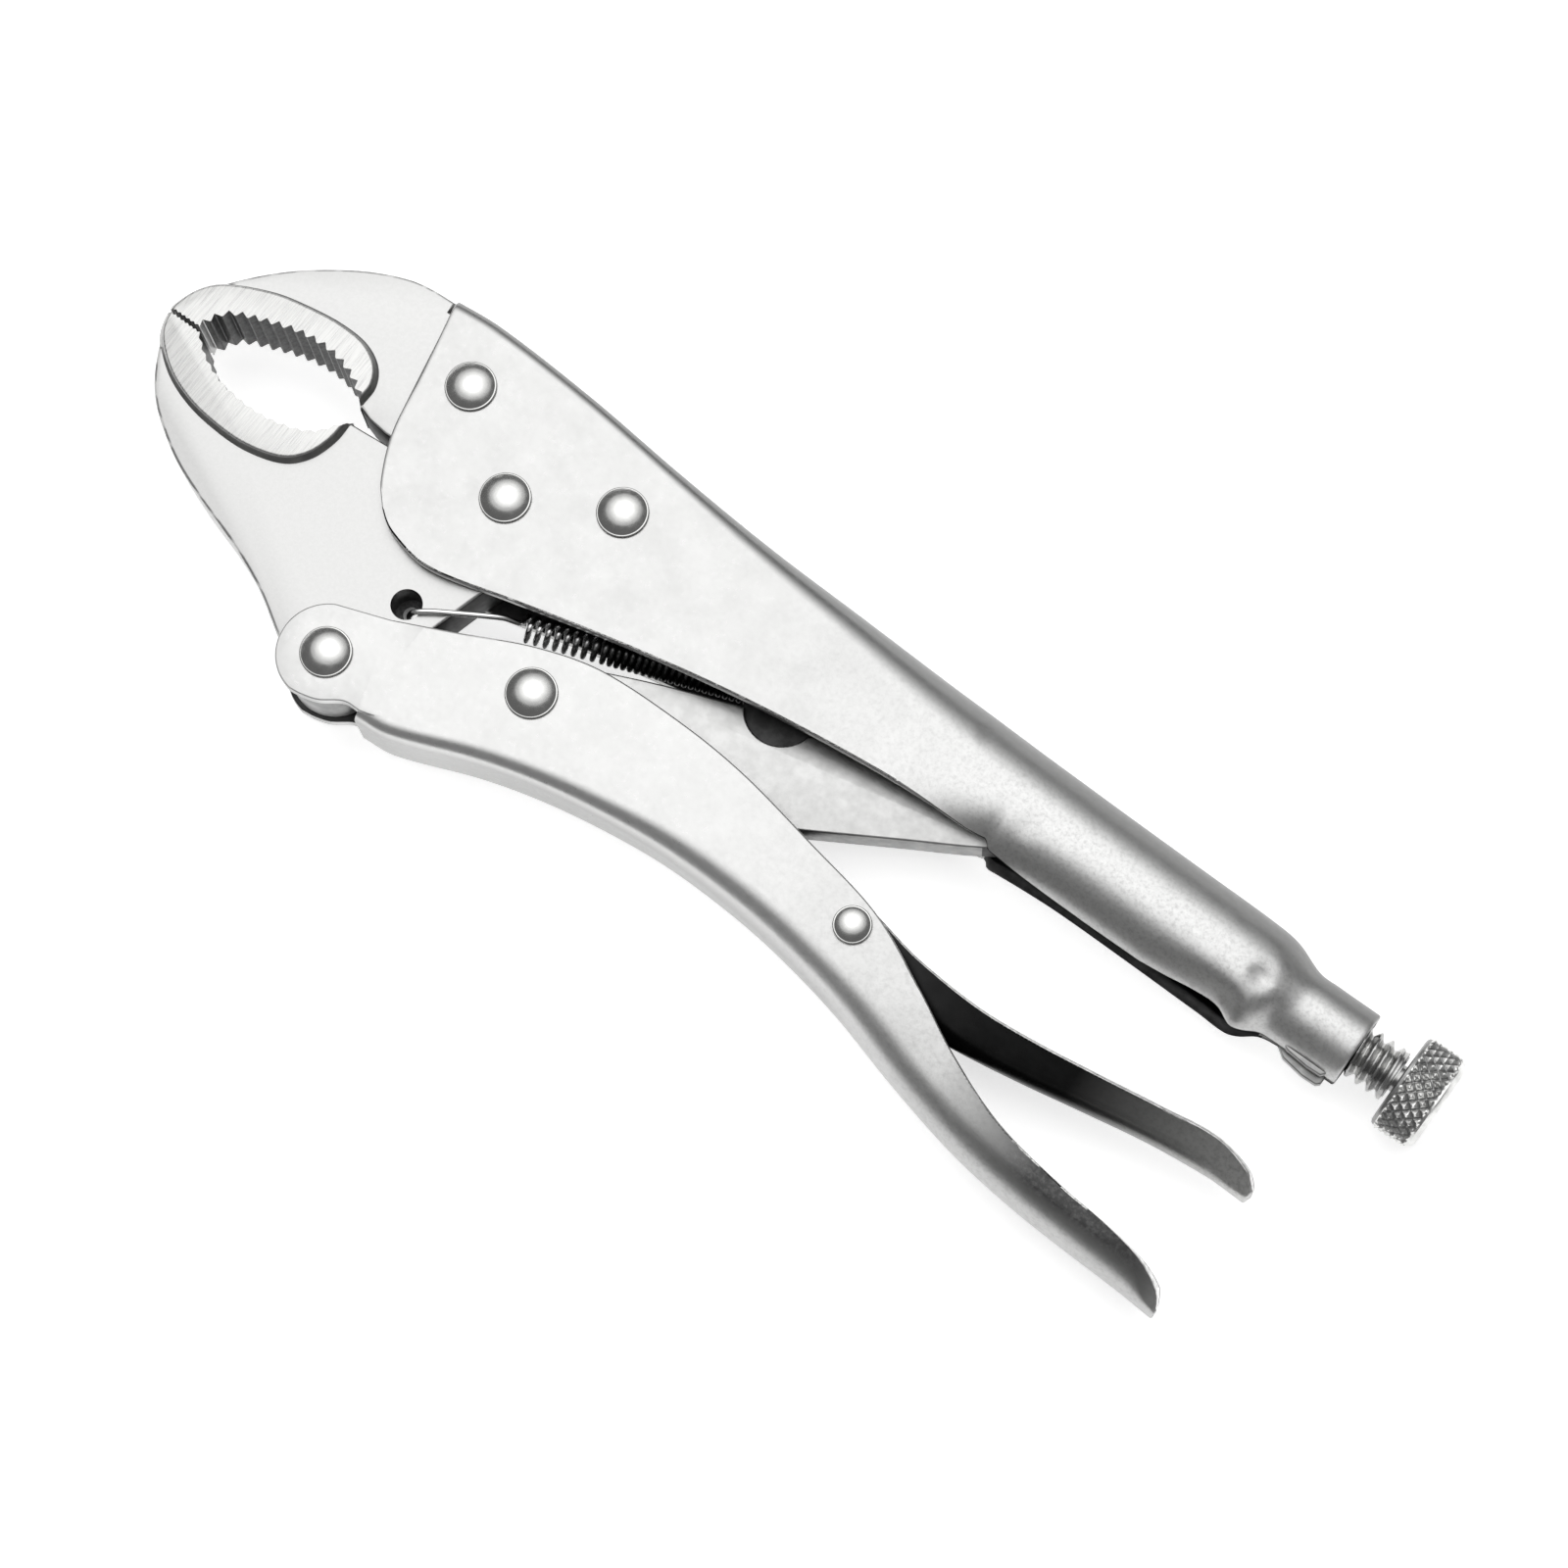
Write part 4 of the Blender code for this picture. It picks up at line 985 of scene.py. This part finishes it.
# Darker steel as painted shade, for side walls, the creases beside the pads, the neck lips, the link's edges and the
# knob's grooves.
wall_painted_shade = steel("wall_painted_shade", (0.34, 0.34, 0.335), (0.24, 0.24, 0.24), 0.9, 0.35)
link_finish = steel("link_finish", (0.52, 0.52, 0.515), (0.46, 0.46, 0.455), 0.9, 0.33)
# Release lever: near-black painted shade, as it lies between the handles, fading to lighter steel from x 132 to 166
# towards its tip.
release_painted_shade = steel("release_painted_shade", (0.025, 0.025, 0.025), (0.02, 0.02, 0.02), 0.9, 0.3, 0.6, 4.0,
                       (0.4, 0.6), (132, 166), (0.62, 0.62, 0.61))
# Near-white painted highlight along the free edges of the lever's and release lever's sheets.
edge_painted_highlight = steel("edge_painted_highlight", (0.95, 0.95, 0.94), (0.60, 0.60, 0.595), 0.9, 0.3, 2.0, 0.9)
rivet_finish = steel("rivet_finish", (0.62, 0.62, 0.61), (0.56, 0.56, 0.55), 1.0, 0.2, 0.5)
screw_finish = steel("screw_finish", (0.50, 0.50, 0.49), (0.34, 0.34, 0.34), 0.95, 0.22)
knob_finish = steel("knob_finish", (0.80, 0.80, 0.79), (0.60, 0.60, 0.59), 0.95, 0.22)
# Bright spring steel, fading to near-black painted shade from x 17 to 30, past which the coil and its anchor pin lie
# inside the handle.
spring_finish_and_shade = steel("spring_finish_and_shade", (0.80, 0.80, 0.80), (0.70, 0.70, 0.70), 1.0, 0.2, 0.4, 3.0,
                      (0.4, 0.62), (17, 30), (0.03, 0.03, 0.03))

shell = paint(fixed_handle(), (handle_finish_and_shading, inner_painted_shade), "handle_steel", "handle", "fixed_handle")
# Painted shade: near black on the hollow inside of the handle's sheet, and in the tube's seam from x 98 to 152.
mark(shell, 1, lambda x, y, z, normal: normal.y * y + normal.z * z < -0.5)
mark(shell, 1, lambda x, y, z, normal: 98 < x < 152 and y < -6.5 and z < 1.5 and normal.z > -0.35)
# The neck lips take the darker steel as painted shade under the neck.
paint(neck_lips(), wall_painted_shade, "handle_steel", "handle")
jaw_finishes = (jaw_finish, pad_finish, tooth_painted_shade, wall_painted_shade, inner_painted_shade)
jaws = (paint(fixed_jaw(), jaw_finishes, "jaw_steel", "handle", "fixed_jaw"),
        paint(movable_jaw(), jaw_finishes, "jaw_steel", "jaw", "movable_jaw"))
for jaw in jaws:
    mark(jaw, 1, lambda x, y, z, normal: abs(z) > GRIP_HALF - 0.35 and abs(normal.z) > 0.85)
    # Painted shade on the pad's sloping walls.
    mark(jaw, 3, lambda x, y, z, normal: JAW_HALF + 0.05 < abs(z) < GRIP_HALF - 0.25 and abs(normal.z) < 0.9)
    # Painted shade on the tooth walls.
    mark(jaw, 2, lambda x, y, z, normal: abs(normal.z) < 0.02 and -61 < x < -30 and -20.5 < y < -3.5)
# Painted shade on the side walls where the jaws tuck in by the handle and the lever.
mark(jaws[0], 4, lambda x, y, z, normal: abs(normal.z) < 0.5 and x > -30.6 and y < -4)
mark(jaws[1], 4, lambda x, y, z, normal: abs(normal.z) < 0.5 and x > 2 and y > -36)
# Painted shade on the lower jaw's sides below y = -46.
mark(jaws[1], 3, lambda x, y, z, normal: abs(normal.z) < 0.5 and y < -46)
# Painted shade in the spring hole.
mark(jaws[1], 2, lambda x, y, z, normal: hypot(x - SPRING_HOLE[0], y - SPRING_HOLE[1])
     < SPRING_HOLE_RADIUS + 0.02)
channel_piece = paint(lever(), (lever_finish_and_shading, inner_painted_shade, edge_painted_highlight), "lever_steel", "lever",
                      "lever_handle")
# Painted shade inside the channel, and a painted highlight along its free edge from x 118 on.
mark(channel_piece, 1, inside_channel(LEVER_STATIONS))
mark(channel_piece, 2, at_free_edge(LEVER_STATIONS, 118.0))
trough = paint(release_lever(), (release_painted_shade, inner_painted_shade, edge_painted_highlight), "release_steel", "release",
               "release_lever")
# Painted shade inside the trough, and a painted highlight along its free edge from x 80 on.
mark(trough, 1, inside_channel(RELEASE_STATIONS))
mark(trough, 2, at_free_edge(RELEASE_STATIONS))
plate = paint(toggle_link(), (link_finish, wall_painted_shade, inner_painted_shade), "link_steel", "link", "toggle_link")
# Painted shade: darker steel on the link's edges, and near black on the notch's floor and walls and on the edges
# from x 98.5 on, under the tube.
mark(plate, 1, lambda x, y, z, normal: abs(normal.z) < 0.5)
mark(plate, 2, lambda x, y, z, normal: hypot(x - SCALLOP[0], y - SCALLOP[1]) < SCALLOP_RADIUS + 0.3
     and abs(z) < LINK_HALF - 0.1)
mark(plate, 2, lambda x, y, z, normal: abs(normal.z) < 0.5 and x > 98.5)
for name, centre, sizes, body, node in (
        ("rivet_jaw_front", FRONT_JAW_RIVET, LARGE_RIVET, "handle", "fixed_jaw_front_rivet"),
        ("rivet_jaw_rear", REAR_JAW_RIVET, LARGE_RIVET, "handle", "fixed_jaw_rear_rivet"),
        ("rivet_jaw_pivot", JAW_PIVOT, LARGE_RIVET, "handle", "jaw_pivot_rivet"),
        ("rivet_lever_pivot", LEVER_PIVOT, LARGE_RIVET, "jaw", "lever_pivot_rivet"),
        ("rivet_toggle", TOGGLE_PIVOT, LARGE_RIVET, "lever", "toggle_rivet"),
        ("rivet_release", RELEASE_PIVOT, SMALL_RIVET, "lever", "release_rivet")):
    paint(rivet(name, centre, *sizes), rivet_finish, "rivet_steel", body, node)
paint(spring_pin(), spring_finish_and_shade, "pin_steel", "handle", "spring_anchor_pin")
paint(adjusting_screw(), screw_finish, "screw_steel", "screw", "adjusting_screw")
grip = paint(knob(), (knob_finish, wall_painted_shade), "knob_steel", "knob", "knurled_knob")
# Painted shade in the knurl's grooves and on the knob's front face.
mark(grip, 1, lambda x, y, z, normal: x < KNOB_FRONT_X + KNOB_LENGTH - 1.2
     and hypot(y, z) < KNOB_RADIUS - 0.5)

spring = return_spring()
spring.data.materials.append(spring_finish_and_shade.material)
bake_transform(spring)
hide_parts("return_spring")

# ---------------------------------------------------------------- stage, light and camera

floor = bpy.data.meshes.new("floor")
floor.from_pydata([(-3, -3, 0), (3, -3, 0), (3, 3, 0), (-3, 3, 0)], [], [(0, 1, 2, 3)])
floor = bpy.data.objects.new("floor", floor)
bpy.context.scene.collection.objects.link(floor)
floor_finish = Nodes("floor_finish")
floor_finish.shader.inputs["Base Color"].default_value = (0.86, 0.86, 0.86, 1.0)
floor_finish.shader.inputs["Roughness"].default_value = 0.9
floor_finish.shader.inputs["Emission Color"].default_value = (1.0, 1.0, 1.0, 1.0)
floor_finish.shader.inputs["Emission Strength"].default_value = 0.62
floor.data.materials.append(floor_finish.material)


def softbox(name, place, target, width, height, radiance):
    """Area light of a given radiance; its power follows from its size."""
    light = bpy.data.lights.new(name, 'AREA')
    light.shape = 'ELLIPSE'
    light.size = width
    light.size_y = height
    light.energy = radiance * width * height * pi * pi / 4
    lamp = bpy.data.objects.new(name, light)
    lamp.location = place
    lamp.rotation_mode = 'QUATERNION'
    lamp.rotation_quaternion = (Vector(target) - Vector(place)).to_track_quat('-Z', 'Y')
    bpy.context.scene.collection.objects.link(lamp)
    return lamp


# The camera looks down from above, tilted a little to the tool's jaw side and rolled in its frame.
CAMERA_DISTANCE = 0.6
ROLL = radians(36.11)
TILT = radians(15.6)
LEAN = radians(2.4)
across = Vector((cos(ROLL), sin(ROLL), 0))
along = Vector((-sin(ROLL), cos(ROLL), 0))
back = Vector((0, 0, 1)) * cos(TILT) - along * sin(TILT)
back = back * cos(LEAN) + across * sin(LEAN)
right = (across - back * across.dot(back)).normalized()
up = back.cross(right)
target = BASE + Vector((65.158, -18.566, 0)) * MM
camera_data = bpy.data.cameras.new("camera")
camera_data.sensor_width = 36
camera_data.lens = 84.375
camera_data.clip_start = 0.05
camera_data.clip_end = 20
camera = bpy.data.objects.new("camera", camera_data)
turned_frame = Matrix((right, up, back)).transposed().to_4x4()
camera.matrix_world = Matrix.Translation(target + back * CAMERA_DISTANCE) @ turned_frame
bpy.context.scene.collection.objects.link(camera)
bpy.context.scene.camera = camera

mirror = (Vector((0, 0, 1)) * cos(TILT) + along * sin(TILT)).normalized()
# One soft source overhead, brightest in the middle and dimmer towards its rim.
overhead = (mirror + along * 0.12).normalized()
softbox("overhead_wide", target + overhead, target, 2.3, 2.3, 0.65)
softbox("overhead_middle", target + overhead * 0.97, target, 1.5, 1.5, 0.55)
softbox("overhead_core", target + overhead * 0.94, target, 1.0, 1.0, 0.6)

world = bpy.data.worlds.new("studio")
world.use_nodes = True
world.node_tree.nodes["Background"].inputs["Color"].default_value = (1.0, 1.0, 1.0, 1.0)
world.node_tree.nodes["Background"].inputs["Strength"].default_value = 0.18
bpy.context.scene.world = world
bpy.context.scene.view_settings.view_transform = 'Standard'
